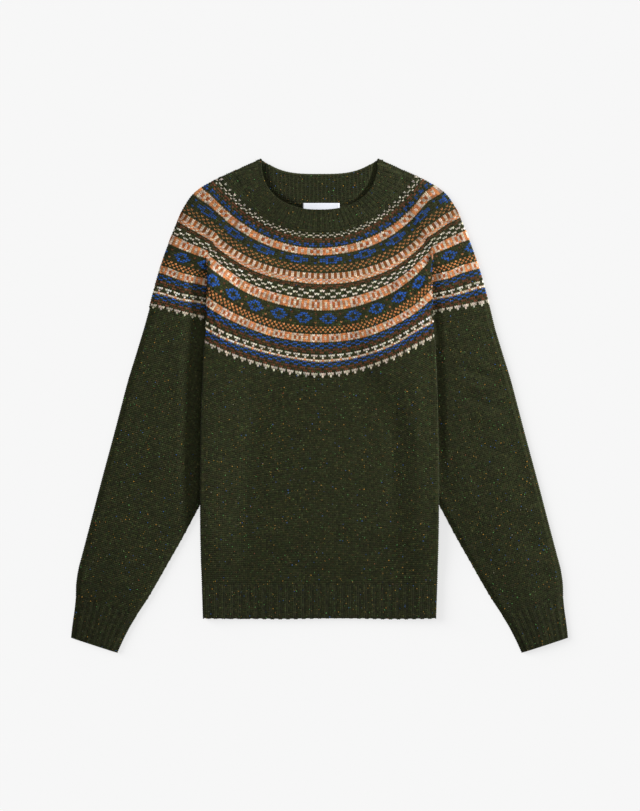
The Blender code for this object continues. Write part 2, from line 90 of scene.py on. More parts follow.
def plain_material(name, colour, roughness, more):
    made = bpy.data.materials.new(name)
    made.use_nodes = True
    shader = made.node_tree.nodes["Principled BSDF"]
    for socket, value in {"Base Color": colour, "Roughness": roughness, **more}.items():
        shader.inputs[socket].default_value = value
    return made, shader


table_mesh = bpy.data.meshes.new("table_top")
corners = [(x * TABLE_HALF, y * TABLE_HALF, TABLE_Z)
           for x, y in ((-1, -1), (1, -1), (1, 1), (-1, 1))]
table_mesh.from_pydata(corners, [], [(0, 1, 2, 3)])
table_finish, _ = plain_material("white table", TABLE_GREY, 0.9, {
    "Specular IOR Level": 0.0, "Emission Color": WHITE, "Emission Strength": TABLE_GLOW})
table_mesh.materials.append(table_finish)
table_top = put("table_top", table_mesh)
table_top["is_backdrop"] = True

sky = bpy.data.worlds.new("studio")
sky.use_nodes = True
sky.node_tree.nodes["Background"].inputs["Color"].default_value = WHITE
sky.node_tree.nodes["Background"].inputs["Strength"].default_value = SKY_STRENGTH
bpy.context.scene.world = sky

only_table = bpy.data.collections.new("only the table")
only_table.objects.link(table_top)
all_but_table = bpy.data.collections.new("all but the table")
all_but_table.objects.link(table_top)
all_but_table.collection_objects[0].light_linking.link_state = "EXCLUDE"


def hang_lamp(name, kind, place, way, lights_up):
    lamp = bpy.data.lights.new(name, kind)
    holder = put(name, lamp)
    holder.rotation_mode = "QUATERNION"
    holder.rotation_quaternion = Vector(way).to_track_quat("Z", "Y")
    holder.location = place
    holder.light_linking.receiver_collection = lights_up
    return lamp


for name, (place, size, watts) in (("side lamp", SIDE_LAMP), ("top lamp", TOP_LAMP)):
    lamp = hang_lamp(name, "AREA", place, place, all_but_table)
    lamp.shape = "DISK"
    lamp.size = size
    lamp.energy = watts
lamp = hang_lamp("shadow lamp", "SUN", SHADOW_LAMP, SHADOW_WAY, only_table)
lamp.energy = SHADOW_STRENGTH
lamp.angle = SHADOW_SPREAD

camera = bpy.data.cameras.new("camera")
camera.lens = LENS
camera.sensor_width = SENSOR
camera_holder = put("camera", camera)
camera_holder.location = (*FRAME_MIDDLE, FRAME_Z + FRAME_HIGH * LENS / SENSOR)
bpy.context.scene.camera = camera_holder
bpy.context.scene.view_settings.view_transform = "Standard"


# Front and back of the body, each one thickness of dark green donegal wool in stockinette.  The
# sides are turned under in a round fold that lies on the sleeves, so the front rises to them.
# Sizes are in millimetres: x across, y towards the neck, z up from the table.

GREEN = (0.0302, 0.0342, 0.0120)
CLOTH = 1.2                    # ground cloth below the loops
CLOTH_INSET = 0.75             # how deep it lies under the loops' crowns
LOOP_DEPTH = 1.15
DOWN_LOOP = 0.72               # share of that depth where a loop faces the table
FACES_DOWN = -0.5
FOLD_HALF = 4.0                # half breadth of the side fold
FOLD_SQUARE = 0.50             # below 1 its round is squarer
PRESSED = 5.3                  # sleeve under the body
LOFT = 7.5
HEM_Y = -314.9
BODY_FOOT = -264.6             # where the hem rib starts
FOLD_TOP = 92.2
APEX_Y = 219.7                 # top of the side fold
PUCKER = 36.0                  # length over which it opens from its top
FOLD_DEEPENS = 110.0           # and over which it reaches its full depth
CLIMB_AT_APEX = (140.0, 162.0) # x where the body starts and ends its climb over a sleeve
CLIMB_BESIDE = (45.0, 5.0)     # lower down: before and past the sleeve's inner edge
SETTLE_Y = -190.0              # below here the sides sink
SUNK_Y = HEM_Y + 50.0          # to lie on the table from here
FOLD_X = 167.0
MIDDLE_LIFT = 3.0
SIDE_LIFT = (8.2, 5.2)         # how much the sleeves raise the front's sides, on -x and +x
TABLE_LIFT = 2.5               # and how much the turned-under cloth does alone
SIDE_DIP = (1.0, 122.0, 45.0)  # fall from there to the fold on +x: height, start in x, run
FLAP_RISE = 3.6                # back over the turned-under side
INNER_EDGE = (71.0, 0.47, 113.0, 150.0)    # inner edge of the sleeve below: x, slope, y, most x
TURN_UNDER = 95.0
FRONT_SHOWN = 172.0            # half of the front that shows
FRONT_LOWEST = 6.0             # the front lies higher than this, its turned-under part lower
CREASE_MARGIN = 14.0           # creases die out so near to a fold
BACK_SHOWN = 86.0              # half of the back between the turned-under sides
BACK_HIDDEN = 70.0             # and how far its cloth goes on over them
BODY_ROWS = 118
BODY_COLUMN = 3.05
SEAM_LAP = 1.008               # the ground cloth goes on a little under the yoke
SEAM_CENTRE, SEAM_CREST_X, SEAM_CREST_Y, SEAM_POWER = 41.3, 168.5, 92.4, 1.75
BODY_EDGE = (                  # y, half width
    (219.7, 167.8), (156.2, 167.0), (89.6, 170.9), (5.4, 174.4),
    (-86.2, 176.2), (-149.8, 176.6), (-216.3, 175.6), (-314.9, 172.8))
BODY_CREASES = (               # two ends, half breadth, height
    ((112, 40), (106, -172), 11, -1.0),
    ((140, 60), (150, -60), 14, 0.8),
    ((-118, -10), (-126, -150), 12, 0.8),
    ((-96, 30), (-92, -110), 13, -0.6),
    ((30, -60), (-70, -150), 20, 0.7),
    ((20, -205), (130, -215), 13, -0.7),
    ((-140, -205), (-50, -222), 12, -0.6))

# How far a ring of the knitting sits above its plain line: rows down the yoke, x across, first on
# the front and then on the sleeves.  The whole yoke also leans up on +x and down on -x.
LEAN = 3.1
LEAN_X = (50.0, 105.0)         # where the lean starts, and the run to its full height
LEAN_EASE = (0.7, 180.0, 60.0) # share lost over the sleeves, where that starts, and its run
LEAN_DOWN = ((0, 1, 6), (0, 0.5, 1))   # rows down, share of the lean
SHIFT_ROWS = (0.0, 1.0, 1.6, 1.95, 2.95, 4.0, 5.0, 5.7, 6.0)
FRONT_SHIFT_X = (-164.1, -140.4, -110.8, -73.9, -29.6, 0.0, 29.6, 73.9, 110.8, 140.4, 155.2, 164.1)
FRONT_SHIFT = np.array((
    (0, 0, 0, 0, 0, 0, 0, 0, 0, 0, 0, 0),
    (4.4, 3.0, 0, 0, 0, 0, 0, 1.5, 3.0, 4.4, 5.9, 7.4),
    (8.1, 3.0, 2.2, 1.5, 0, 0, 0, 3.0, 2.2, 6.7, 13.3, 13.3),
    (6.7, 2.2, 3.0, 2.2, 0.7, 0, 1.5, 1.5, 1.5, 3.0, 9.6, 12.6),
    (2.2, 3.0, 3.0, 2.2, 1.5, 0, 0, 0, -1.5, 0, 1.5, 3.7),
    (5.2, 5.9, 3.0, 3.0, 2.2, 0, 0, 1.5, 0, 3.7, 7.4, 5.9),
    (3.7, 3.7, 3.7, 0.7, 0, 0, 0, 0, 1.5, 3.0, 6.7, 9.6),
    (-2.2, -1.5, 0.7, 1.5, 1.5, 0, 0, 0, 0, 3.7, 3.7, 2.2),
    (0, 0, 0, 0, 0, 0, 0, 0, 0, 1.5, 2.2, 2.2)))
SLEEVE_SHIFT_X = (-243.9, -229.1, -206.9, -184.8, -171.4, 171.4, 192.1, 214.3, 233.5, 251.3)
SLEEVE_SHIFT = np.array((
    (0, 0, 0, 0, 0, 0, 0, 0, 0, 0),
    (4.4, 4.4, 4.4, 4.4, 4.4, 7.4, 7.4, 7.4, 7.4, 7.4),
    (8.1, 8.1, 8.1, 8.1, 8.1, 12.6, 12.6, 12.6, 12.6, 12.6),
    (9.6, 9.6, 9.6, 9.6, 9.6, 11.8, 11.8, 11.8, 11.8, 11.8),
    (5.2, 5.2, 5.2, 5.9, 5.2, 6.7, 11.1, 11.1, 11.1, 11.1),
    (3.0, 3.0, 3.0, 3.7, 5.2, 6.7, 6.7, 8.1, 8.1, 8.1),
    (3.7, 3.7, 1.5, 3.0, 3.7, 3.7, 3.0, 8.1, 8.9, 8.9),
    (-2.2, -2.2, -3.0, 0, 0.7, 1.5, 0.7, 2.2, 5.2, 5.2),
    (-3.0, -3.0, -3.0, -3.0, -3.0, 0, 0, 0, 0, 0)))


def soft_step(share):
    share = np.clip(share, 0.0, 1.0)
    return share * share * (3.0 - 2.0 * share)


def mix(a, b, share):
    return a + (b - a) * share


def unit(vectors):
    return vectors / np.maximum(np.linalg.norm(vectors, axis=-1, keepdims=True), 1e-9)


def read_down(rows):
    """A smooth function of y from rows of (y, value) that run down the garment."""
    places, values = np.array(rows, float).T
    slopes = np.empty(len(places))
    slopes[1:-1] = (values[2:] - values[:-2]) / (places[2:] - places[:-2])
    slopes[0] = (values[1] - values[0]) / (places[1] - places[0])
    slopes[-1] = (values[-1] - values[-2]) / (places[-1] - places[-2])

    def value(y):
        y = np.clip(y, places[-1], places[0])
        i = np.clip(np.searchsorted(-places, -y, side="right") - 1, 0, len(places) - 2)
        run = places[i + 1] - places[i]
        t = (y - places[i]) / run
        start = (2 * t**3 - 3 * t**2 + 1) * values[i] + (t**3 - 2 * t**2 + t) * run * slopes[i]
        end = (3 * t**2 - 2 * t**3) * values[i + 1] + (t**3 - t**2) * run * slopes[i + 1]
        return start + end

    return value


body_edge = read_down(BODY_EDGE)


def creased(x, y, creases):
    """Height that soft creases add."""
    total = np.zeros(np.shape(x))
    for (x0, y0), (x1, y1), breadth, height in creases:
        long = math.hypot(x1 - x0, y1 - y0)
        way_x, way_y = (x1 - x0) / long, (y1 - y0) / long
        along = ((x - x0) * way_x + (y - y0) * way_y) / long
        off = (x - x0) * way_y - (y - y0) * way_x
        ends = soft_step((0.5 - np.abs(np.clip(along, -0.5, 1.5) - 0.5)) / 0.35 + 0.3)
        total = total + height * np.exp(-((off / breadth) ** 2)) * ends
    return total


def settle(y):
    """1 where the body's sides lie on the sleeves, 0 where they lie on the table."""
    return soft_step((y - SUNK_Y) / (SETTLE_Y - SUNK_Y))


def layers(x, y, row_y):
    """How deep the fold is, where the body starts to climb over a sleeve, how far it has."""
    first, slope, foot, most = INNER_EDGE
    inner = np.clip(first + slope * (foot - row_y), first, most)
    deep = soft_step((APEX_Y - y) / FOLD_DEEPENS)
    start = mix(CLIMB_AT_APEX[0], inner - CLIMB_BESIDE[0], deep)
    full = mix(CLIMB_AT_APEX[1], inner + CLIMB_BESIDE[1], deep)
    return deep, start, soft_step((np.abs(x) - start) / (full - start))


def front_top(x, y, row_y):
    settled = settle(row_y)
    deep, start, climb = layers(x, y, row_y)
    reach = np.abs(x)
    gentle = soft_step((reach - start) / (FOLD_X - start))
    left, right = (TABLE_LIFT + lift * settled for lift in SIDE_LIFT)
    dip, dip_x, dip_run = SIDE_DIP
    right = right - dip * settled * soft_step((reach - dip_x) / dip_run)
    middle = MIDDLE_LIFT * settled * deep
    rise = np.where(x < 0, mix(middle, left, gentle), mix(middle, right, climb))
    return LOFT + rise * soft_step((APEX_Y - y) / PUCKER)


def back_under(x, y, row_y):
    settled = settle(row_y)
    deep, _, climb = layers(x, y, row_y)
    rise = mix(MIDDLE_LIFT * settled * deep, PRESSED * settled + FLAP_RISE, climb)
    return rise * soft_step((APEX_Y - y) / PUCKER)


def row_shift(v, x, beyond):
    """Height of a ring above its plain line; beyond is 0 on the front, 1 past the side fold."""
    row = np.interp(v, SHIFT_ROWS, np.arange(len(SHIFT_ROWS)))
    k = min(int(row), len(SHIFT_ROWS) - 2)

    def across(places, table):
        return mix(np.interp(x, places, table[k]), np.interp(x, places, table[k + 1]), row - k)

    shift = mix(across(FRONT_SHIFT_X, FRONT_SHIFT), across(SLEEVE_SHIFT_X, SLEEVE_SHIFT), beyond)
    reach = np.abs(x)
    lost, ease_x, ease_run = LEAN_EASE
    lean = LEAN * np.sign(x) * soft_step((reach - LEAN_X[0]) / LEAN_X[1])
    lean = lean * (1.0 - lost * soft_step((reach - ease_x) / ease_run))
    return shift + lean * np.interp(v, *LEAN_DOWN)


def panel_place(v, u, foot, head, head_y, layer):
    """Point on the body: v 0 to 1 up the panel, u across the cloth from its middle.

    layer 0 is the front's outer face, 1 the back's outer face, which looks down.
    """
    row_y = mix(foot, head, v)
    turn = body_edge(row_y) - FOLD_HALF
    reach, way = np.abs(u), np.sign(u)
    tall = front_top(way * turn, HEM_Y, row_y)
    half_tall = 0.5 * (tall - PRESSED * settle(row_y))
    half_round = math.pi * np.sqrt(0.5 * (FOLD_HALF**2 + half_tall**2))
    angle = np.clip((reach - turn) / half_round, 0.0, 1.0) * math.pi
    under = np.maximum(reach - turn - half_round, 0.0)
    x = way * (np.minimum(reach, turn) + FOLD_HALF * np.sin(angle) ** FOLD_SQUARE - under)
    y = mix(foot, head_y(x), v)
    top = front_top(x, HEM_Y, y) if layer == 0 else back_under(x, HEM_Y, y)
    base = PRESSED * settle(row_y) * layers(x, HEM_Y, row_y)[2]
    fall = np.cos(angle)
    arc = mix(base, tall, 0.5 + 0.5 * np.sign(fall) * np.abs(fall) ** FOLD_SQUARE)
    return x, y, np.where(reach <= turn, top, arc)


def body_seam(x):
    share = np.minimum(1.0, np.abs(x) / SEAM_CREST_X)
    return mix(SEAM_CENTRE, SEAM_CREST_Y, share**SEAM_POWER) + row_shift(6.0, x, 0.0)


def front_place(v, u):
    x, y, z = panel_place(v, u, BODY_FOOT, FOLD_TOP, body_seam, 0)
    on_top = soft_step((body_edge(y) - np.abs(x)) / CREASE_MARGIN) * (z > FRONT_LOWEST)
    return np.stack([x, y, z + creased(x, y, BODY_CREASES) * on_top], -1)


def back_place(v, u):
    """The back's outer face looks down, so its columns run the other way."""
    return np.stack(panel_place(v, -u, BODY_FOOT, FOLD_TOP, body_seam, 1), -1)


def colour_points(mesh, shades):
    rgba = np.ones((len(shades), 4))
    rgba[:, :3] = shades
    mesh.attributes.new("yarn", "FLOAT_COLOR", "POINT").data.foreach_set("color", rgba.ravel())


def ground_cloth(node, grid, finish, closed=False, colours=None, inset=CLOTH_INSET, thick=CLOTH):
    """Thin cloth for a node, under a grid of points whose rows run from the foot to the neck.

    Its walls close on themselves; closed joins the rows' ends too, as on a tube.
    """
    if closed:
        across = unit(np.roll(grid, -1, 1) - grid) + unit(grid - np.roll(grid, 1, 1))
    else:
        across = np.gradient(grid, axis=1)
    up = unit(np.cross(across, np.gradient(grid, axis=0)))
    rows, columns = grid.shape[:2]
    skins = [(grid - up * deep).reshape(-1, 3) for deep in (inset, inset + thick)]
    points = np.concatenate(skins) * MM
    points[:, 2] = np.maximum(points[:, 2], 0.0)
    n = rows * columns
    c = np.arange(columns if closed else columns - 1)
    d = (c + 1) % columns
    a = np.arange(rows - 1)[:, None] * columns
    b = a + columns
    faces = [(a + c, a + d, b + d, b + c), (n + a + c, n + b + c, n + b + d, n + a + d)]
    end = n - columns
    faces += [(c, n + c, n + d, d), (end + c, end + d, n + end + d, n + end + c)]
    if not closed:
        last = columns - 1
        faces += [(a, b, n + b, n + a), (a + last, n + a + last, n + b + last, b + last)]
    faces = [np.stack(corners, -1).reshape(-1, 4) for corners in faces]
    mesh = bpy.data.meshes.new(node + "_cloth")
    mesh.from_pydata(points.tolist(), [], np.concatenate(faces).tolist())
    mesh.polygons.foreach_set("use_smooth", [True] * len(mesh.polygons))
    shades = np.broadcast_to(GREEN, (n, 3)) if colours is None else colours.reshape(-1, 3)
    colour_points(mesh, np.concatenate([shades, shades]))
    mesh.materials.append(finish)
    mesh.update()
    cloth = put(mesh.name, mesh)
    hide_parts(node)
    return cloth


def add_node(tree, kind, values={}, **settings):
    """A node with its settings and its inputs' values; a value that is a socket is linked to."""
    node = tree.nodes.new(kind)
    for name, value in settings.items():
        setattr(node, name, value)
    for socket, value in values.items():
        if isinstance(value, bpy.types.NodeSocket):
            tree.links.new(value, node.inputs[socket])
        else:
            node.inputs[socket].default_value = value
    return node


def wool(name, fibre_bump=0.35, sheen=0.08):
    """Matt woollen yarn: its colour comes with each loop, and fibres break it up."""
    made, shader = plain_material(name, (*GREEN, 1.0), 0.92, {
        "Sheen Weight": sheen, "Sheen Roughness": 0.55, "Specular IOR Level": 0.12})
    tree = made.node_tree
    yarn = add_node(tree, "ShaderNodeAttribute", attribute_name="yarn")
    where = add_node(tree, "ShaderNodeTexCoord")
    fibres = add_node(tree, "ShaderNodeTexNoise", {
        "Vector": where.outputs["Object"], "Scale": 640.0, "Detail": 3.0, "Roughness": 0.65})
    shade = add_node(tree, "ShaderNodeMapRange", {
        "Value": fibres.outputs["Fac"], "From Min": 0.25, "From Max": 0.75,
        "To Min": 0.5, "To Max": 1.5})
    tint = add_node(tree, "ShaderNodeVectorMath", {
        0: yarn.outputs["Color"], "Scale": shade.outputs["Result"]}, operation="SCALE")
    bump = add_node(tree, "ShaderNodeBump", {
        "Height": fibres.outputs["Fac"], "Strength": fibre_bump, "Distance": 0.4 * MM})
    tree.links.new(tint.outputs["Vector"], shader.inputs["Base Color"])
    tree.links.new(bump.outputs["Normal"], shader.inputs["Normal"])
    return made


green_wool = wool("green donegal wool")


def loop_tree():
    """Geometry Nodes that set a loop of yarn on each point, turned and sized by attributes."""
    tree = bpy.data.node_groups.new("set loops", "GeometryNodeTree")
    for name, kind in (("Geometry", "Geometry"), ("Loop", "Object"), ("Yarn", "Material"),
                       ("Slack", "Float"), ("Seed", "Int")):
        tree.interface.new_socket(name, in_out="INPUT", socket_type="NodeSocket" + kind)
    tree.interface.new_socket("Geometry", in_out="OUTPUT", socket_type="NodeSocketGeometry")
    given = add_node(tree, "NodeGroupInput").outputs

    def kept(name):
        read = add_node(tree, "GeometryNodeInputNamedAttribute", {"Name": name},
                        data_type="FLOAT_VECTOR")
        return read.outputs["Attribute"]

    turn = add_node(tree, "FunctionNodeAxesToRotation", {
        "Primary Axis": kept("up"), "Secondary Axis": kept("along")},
        primary_axis="Z", secondary_axis="Y")
    less = add_node(tree, "ShaderNodeMath", {0: given["Slack"], 1: -1.0}, operation="MULTIPLY")
    loose = add_node(tree, "FunctionNodeRandomValue", {
        0: less.outputs[0], 1: given["Slack"], "Seed": given["Seed"]}, data_type="FLOAT_VECTOR")
    tilt = add_node(tree, "FunctionNodeRotateRotation", {
        "Rotation": turn.outputs["Rotation"], "Rotate By": loose.outputs[0]},
        rotation_space="LOCAL")
    loop = add_node(tree, "GeometryNodeObjectInfo", {"Object": given["Loop"]})
    set_on = add_node(tree, "GeometryNodeInstanceOnPoints", {
        "Points": given["Geometry"], "Instance": loop.outputs["Geometry"],
        "Rotation": tilt.outputs["Rotation"], "Scale": kept("size")})
    whole = add_node(tree, "GeometryNodeRealizeInstances", {
        "Geometry": set_on.outputs["Instances"]})
    finish = add_node(tree, "GeometryNodeSetMaterial", {
        "Geometry": whole.outputs["Geometry"], "Material": given["Yarn"]})
    add_node(tree, "NodeGroupOutput", {"Geometry": finish.outputs["Geometry"]})
    return tree


set_loops = loop_tree()


def one_loop(name, *legs):
    """A loop of yarn in a unit cell; each leg is (foot, head, half width, crown) in the cell."""
    points, faces = [], []
    for foot, head, half, crown in legs:
        foot, head = Vector((*foot, 0.0)), Vector((*head, 0.0))
        way = (head - foot).normalized()
        side = Vector((way.y, -way.x, 0.0)) * half
        middle = (foot + head) / 2
        k = len(points)
        points += [foot, middle + side, head, middle - side, middle + Vector((0, 0, crown))]
        faces += [(k + a, k + (a + 1) % 4, k + 4) for a in range(4)]
    mesh = bpy.data.meshes.new(name)
    mesh.from_pydata(points, [], faces)
    mesh.polygons.foreach_set("use_smooth", [True] * len(faces))
    return put(name, mesh)


knit_loop = one_loop("knit_loop", ((0.06, -0.60), (0.37, 0.56), 0.225, 1.0),
                     ((-0.06, -0.60), (-0.37, 0.56), 0.225, 1.0))
purl_loop = one_loop("purl_loop", ((-0.60, -0.22), (0.60, -0.22), 0.44, 0.8),
                     ((-0.60, 0.30), (0.60, 0.30), 0.36, 0.6))


def knit(name, laid, colours, finish, loop=knit_loop, slack=0.10, seed=1, depth=LOOP_DEPTH):
    """Sets a loop at each place; laid is (centres, across, along) in millimetres."""
    centres, across, along = laid
    up = unit(np.cross(across, along))
    wide, high = np.linalg.norm(across, axis=-1), np.linalg.norm(along, axis=-1)
    deep = depth * np.where(up[:, 2] < FACES_DOWN, DOWN_LOOP, 1.0)
    kept = {"up": up, "along": unit(along), "size": np.stack([wide, high, deep], -1) * MM}
    mesh = bpy.data.meshes.new(name + "_places")
    mesh.from_pydata(((centres - up * CLOTH_INSET) * MM).tolist(), [], [])
    for label, values in kept.items():
        column = mesh.attributes.new(label, "FLOAT_VECTOR", "POINT")
        column.data.foreach_set("vector", np.ascontiguousarray(values, float).ravel())
    colour_points(mesh, colours)
    holder = put(name + "_places", mesh)
    maker = holder.modifiers.new("loops", "NODES")
    maker.node_group = set_loops
    inputs = {s.name: s.identifier for s in set_loops.interface.items_tree if s.in_out == "INPUT"}
    for label, value in {"Loop": loop, "Yarn": finish, "Slack": slack, "Seed": seed}.items():
        maker[inputs[label]] = value
    seen = bpy.context.evaluated_depsgraph_get()
    knitted = bpy.data.meshes.new_from_object(holder.evaluated_get(seen))
    knitted.name = name
    bpy.data.objects.remove(holder)
    bpy.data.meshes.remove(mesh)
    for label in kept:
        if label in knitted.attributes:
            knitted.attributes.remove(knitted.attributes[label])
    return put(name, knitted)


# Painted shade: loops are darkened at the neck and towards the hem and cuffs, by these shares
# along y.
PAINTED_SHADE_DOWN = ((-345, -265, -150, 0, 215, 290, 366), (0.81, 0.89, 0.96, 1.0, 1.0, 0.70, 0.68))
SHADE_DEPTH = 0.022            # how much each wave adds or takes
SHADE_WAVES = (                # length, way, start
    (23, 0.4, 1.1), (31, 1.9, 0.3), (41, 2.7, 2.0), (17, 1.2, 4.2), (13, 2.3, 0.7), (55, 0.1, 2.9))


def tweed(base, centres, seed, spread=0.32, cast=0.10):
    """Each loop's colour: the yarn's, uneven from loop to loop and slowly over the cloth, and
    darkened at the neck and low down as painted shade.
    """
    random = np.random.default_rng(seed)
    count = len(centres)
    x, y = centres[:, 0], centres[:, 1]
    waves = sum(np.sin(2 * math.pi * (x * math.cos(way) + y * math.sin(way)) / length + start)
                for length, way, start in SHADE_WAVES)
    cloudy_and_painted_shade = (1.0 + SHADE_DEPTH * waves) * np.interp(y, *PAINTED_SHADE_DOWN)
    shade = np.exp(random.normal(0.0, spread, count)) * cloudy_and_painted_shade
    colours = np.broadcast_to(base, (count, 3)) * shade[:, None]
    return np.clip(colours * (1.0 + random.normal(0.0, cast, (count, 3))), 0.002, 0.95)


def green_knit(name, laid, shade_seed, slack_seed, base=GREEN, loop=knit_loop):
    return knit(name, laid, tweed(base, laid[0], shade_seed), green_wool, loop, seed=slack_seed)


def finish_pieces(slot, *pieces):
    for piece in pieces:
        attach(piece, "root")


def chosen(laid, keep):
    return [part[keep] for part in laid]


def joined(parts):
    return [np.concatenate(part) for part in zip(*parts)]


def on_grid(place, levels, runs):
    v, u = np.meshgrid(levels, runs, indexing="ij")
    return place(v, u)


def panel_loops(place, rows, columns, column):
    """Centres, across and along vectors of a panel's loops, and each one's u."""
    spots = np.meshgrid((np.arange(rows) + 0.5) / rows, columns, indexing="ij")
    v, u = (part.ravel() for part in spots)
    across = place(v, u + column / 2) - place(v, u - column / 2)
    along = place(v + 0.5 / rows, u) - place(v - 0.5 / rows, u)
    return [place(v, u), across, along], u


def columns_of(half_count, column):
    return (np.arange(-half_count, half_count) + 0.5) * column


def stretches(*runs):
    return np.concatenate([np.linspace(*run) for run in runs])


# The ground cloth's points lie closest together at the folds
body_u = stretches((-265, -190, 11), (-187, -163, 13), (-158, 158, 53), (163, 187, 13),
                   (190, 265, 11))
front_grid = on_grid(front_place, np.append(np.linspace(0, 1, 61), SEAM_LAP), body_u)
body_front = ground_cloth("body_front", front_grid, green_wool)
front_columns = columns_of(round((FRONT_SHOWN + TURN_UNDER) / BODY_COLUMN), BODY_COLUMN)
laid, u = panel_loops(front_place, BODY_ROWS, front_columns, BODY_COLUMN)
top_centres = [laid[0][np.abs(u) < FRONT_SHOWN]]       # places of loops that show from above
front_loops = green_knit("body_front_stitches", laid, 11, 3)

back_u = np.linspace(-BACK_SHOWN - BACK_HIDDEN, BACK_SHOWN + BACK_HIDDEN, 61)
back_grid = on_grid(back_place, np.append(np.linspace(0, 1, 41), SEAM_LAP), back_u)
body_back = ground_cloth("body_back", back_grid, green_wool)
back_columns = columns_of(int(BACK_SHOWN / BODY_COLUMN), BODY_COLUMN)
laid, _ = panel_loops(back_place, BODY_ROWS, back_columns, BODY_COLUMN)
back_loops = green_knit("body_back_stitches", laid, 12, 4)
finish_pieces("green_wool", body_front, front_loops, body_back, back_loops)


# Hem ribs.  A welt of two knit and two purl columns at the foot of the front and of the back,
# 50 mm deep, in the same wool and cast off at its edge.  It is turned under with the sides.

HEM_ROWS = 18
HEM_RIB_PITCH = 11.65
HEM_HALF_COLUMNS = 90
RIB_HEIGHT = 0.15
RIB_TURN = 0.16                # share of a rib over which knit turns to purl
RIB_MIDDLE = 0.55
RIB_FADES = 0.9                # share of the welt's depth where its ribs start to flatten
WELT_LOWEST = 3.0              # the welt lies higher than this, its turned-under part lower
EDGE_SCALLOP = 0.9             # how far the knit columns stand out at the cast-off edge
EDGE_WAVE = (0.7, 27.0, 0.6)   # that edge's slow wave: height, run, start
# Painted shade: the rib's knit columns are a little darker than the body's green, and its purl
# columns much darker.
HEM_KNIT_PAINTED_SHADE = tuple(0.93 * part for part in GREEN)
HEM_PURL_PAINTED_SHADE = tuple(0.57 * part for part in GREEN)   # painted shade: offsets the light the purl loops catch


def rib_wave(u, pitch):
    """Height of a two-and-two rib: 1 on its knit columns, 0 in the purl ones."""
    return soft_step((0.5 - np.abs(np.mod(u / pitch, 1.0) - 0.5)) / RIB_TURN - 0.9)


def hem_place(v, u):
    x, y, z = panel_place(v, u, HEM_Y, BODY_FOOT, lambda x: BODY_FOOT, 0)
    rib = rib_wave(u, HEM_RIB_PITCH)
    blend = 1.0 - soft_step((v - RIB_FADES) / (1.0 - RIB_FADES))
    z = z + np.where(z > WELT_LOWEST, (rib - RIB_MIDDLE) * RIB_HEIGHT * blend, 0.0)
    height, run, start = EDGE_WAVE
    y = y + (1.0 - v) * (EDGE_SCALLOP * (rib - 0.5) + height * np.sin(u / run + start))
    return np.stack([x, y, z], -1)


def hem_back_place(v, u):
    return np.stack(panel_place(v, -u, HEM_Y, BODY_FOOT, lambda x: BODY_FOOT, 1), -1)


hem_u = stretches((-265, -190, 11), (-188, 188, 248), (190, 265, 11))
hem_grid = on_grid(hem_place, np.linspace(0, 1, 10), hem_u)
hem_front = ground_cloth("hem_rib_front", hem_grid, green_wool)
hem_column = HEM_RIB_PITCH / 4
laid, u = panel_loops(hem_place, HEM_ROWS, columns_of(HEM_HALF_COLUMNS, hem_column), hem_column)
top_centres.append(laid[0][np.abs(u) < FRONT_SHOWN])
is_knit = rib_wave(u, HEM_RIB_PITCH) > 0.5
hem_knits = green_knit("hem_rib_front_knit", chosen(laid, is_knit), 13, 5, HEM_KNIT_PAINTED_SHADE)
hem_purls = green_knit("hem_rib_front_purl", chosen(laid, ~is_knit), 14, 6, HEM_PURL_PAINTED_SHADE, purl_loop)
hem_back_grid = on_grid(hem_back_place, np.linspace(0, 1, 8), back_u)
hem_back = ground_cloth("hem_rib_back", hem_back_grid, green_wool)
laid, _ = panel_loops(hem_back_place, HEM_ROWS, back_columns, BODY_COLUMN)
hem_back_loops = green_knit("hem_rib_back_knit", laid, 15, 7, HEM_PURL_PAINTED_SHADE)
finish_pieces("green_wool", hem_front, hem_knits, hem_purls, hem_back, hem_back_loops)


# Sleeves.  Each is a flattened tube of the same wool, its columns running from the yoke to the
# cuff beside the outer fold, with the shaping at the underarm edge.  Its inner part lies under
# the body's fold, and its head is knitted on to the yoke.

EDGE_RADIUS = 2.5
EDGE_RUN = 55.0                # run over which an edge rises to its full height
EDGE_RISE = 1.7
EDGE_QUICK = 7.0               # run of the quick rise at the edge
SHOULDER_LOFT = 9.0
SLEEVE_LOFT = (6.8, 9.2)       # on -x and +x
LOFT_CHANGE = 120.0            # length over which the shoulder's loft becomes the sleeve's
LOFT_RETURN = (-120.0, 140.0)  # y from where it goes half way back, and over what length
TRENCH = 3.9                   # height of a sleeve right beside the body's fold
TRENCH_WIDE = (16.0, 22.0)     # on -x, how far from the fold it starts to rise, and the run
TRENCH_STEEP = ((0.88, 0.0, 15.0), (0.12, 8.0, 26.0))  # on +x, in two shares, each so
UNDER_FOLD = 14.0              # how far its loops go on under that fold
SLEEVE_EXIT = (-150.0, 50.0)   # y where it comes out from under the fold, and over what length
BELOW_HEM_Y = HEM_Y + 60.0     # from here down all its loops show
TUBE_TOP = 2 * EDGE_RADIUS - 0.3       # points of a tube higher than this are on its top
TUBE_CREASE_MARGIN = 12.0
TUBE_RIB_MARGIN = 3.0
SLEEVE_ROW = 2.8
SLEEVE_SLANT = 1.033           # length of sleeve to each millimetre of y
ROW_STRETCH = 1.02
SLEEVE_COLUMN = 3.05
HEAD_ROWS = 13
HEAD_HALF_COLUMNS = 28
HEAD_SHARES = (0.25, 0.5, 0.75, 1.0, 1.06)     # ground cloth's rows on the way to the seam
HIDDEN_END = 4.5               # how far the hidden end goes on past the first row
SEAM_TAIL = 30.0
SEAM_FOOT = 75.5               # width at which the sleeve's end leaves the yoke's seam
SEAM_OUTER = (251.4, 149.0)    # that seam at the outer edge and at the body's fold
SEAM_INNER = (178.0, 133.6)
SEEN_FROM_ABOVE = 4.0          # loops higher than this show
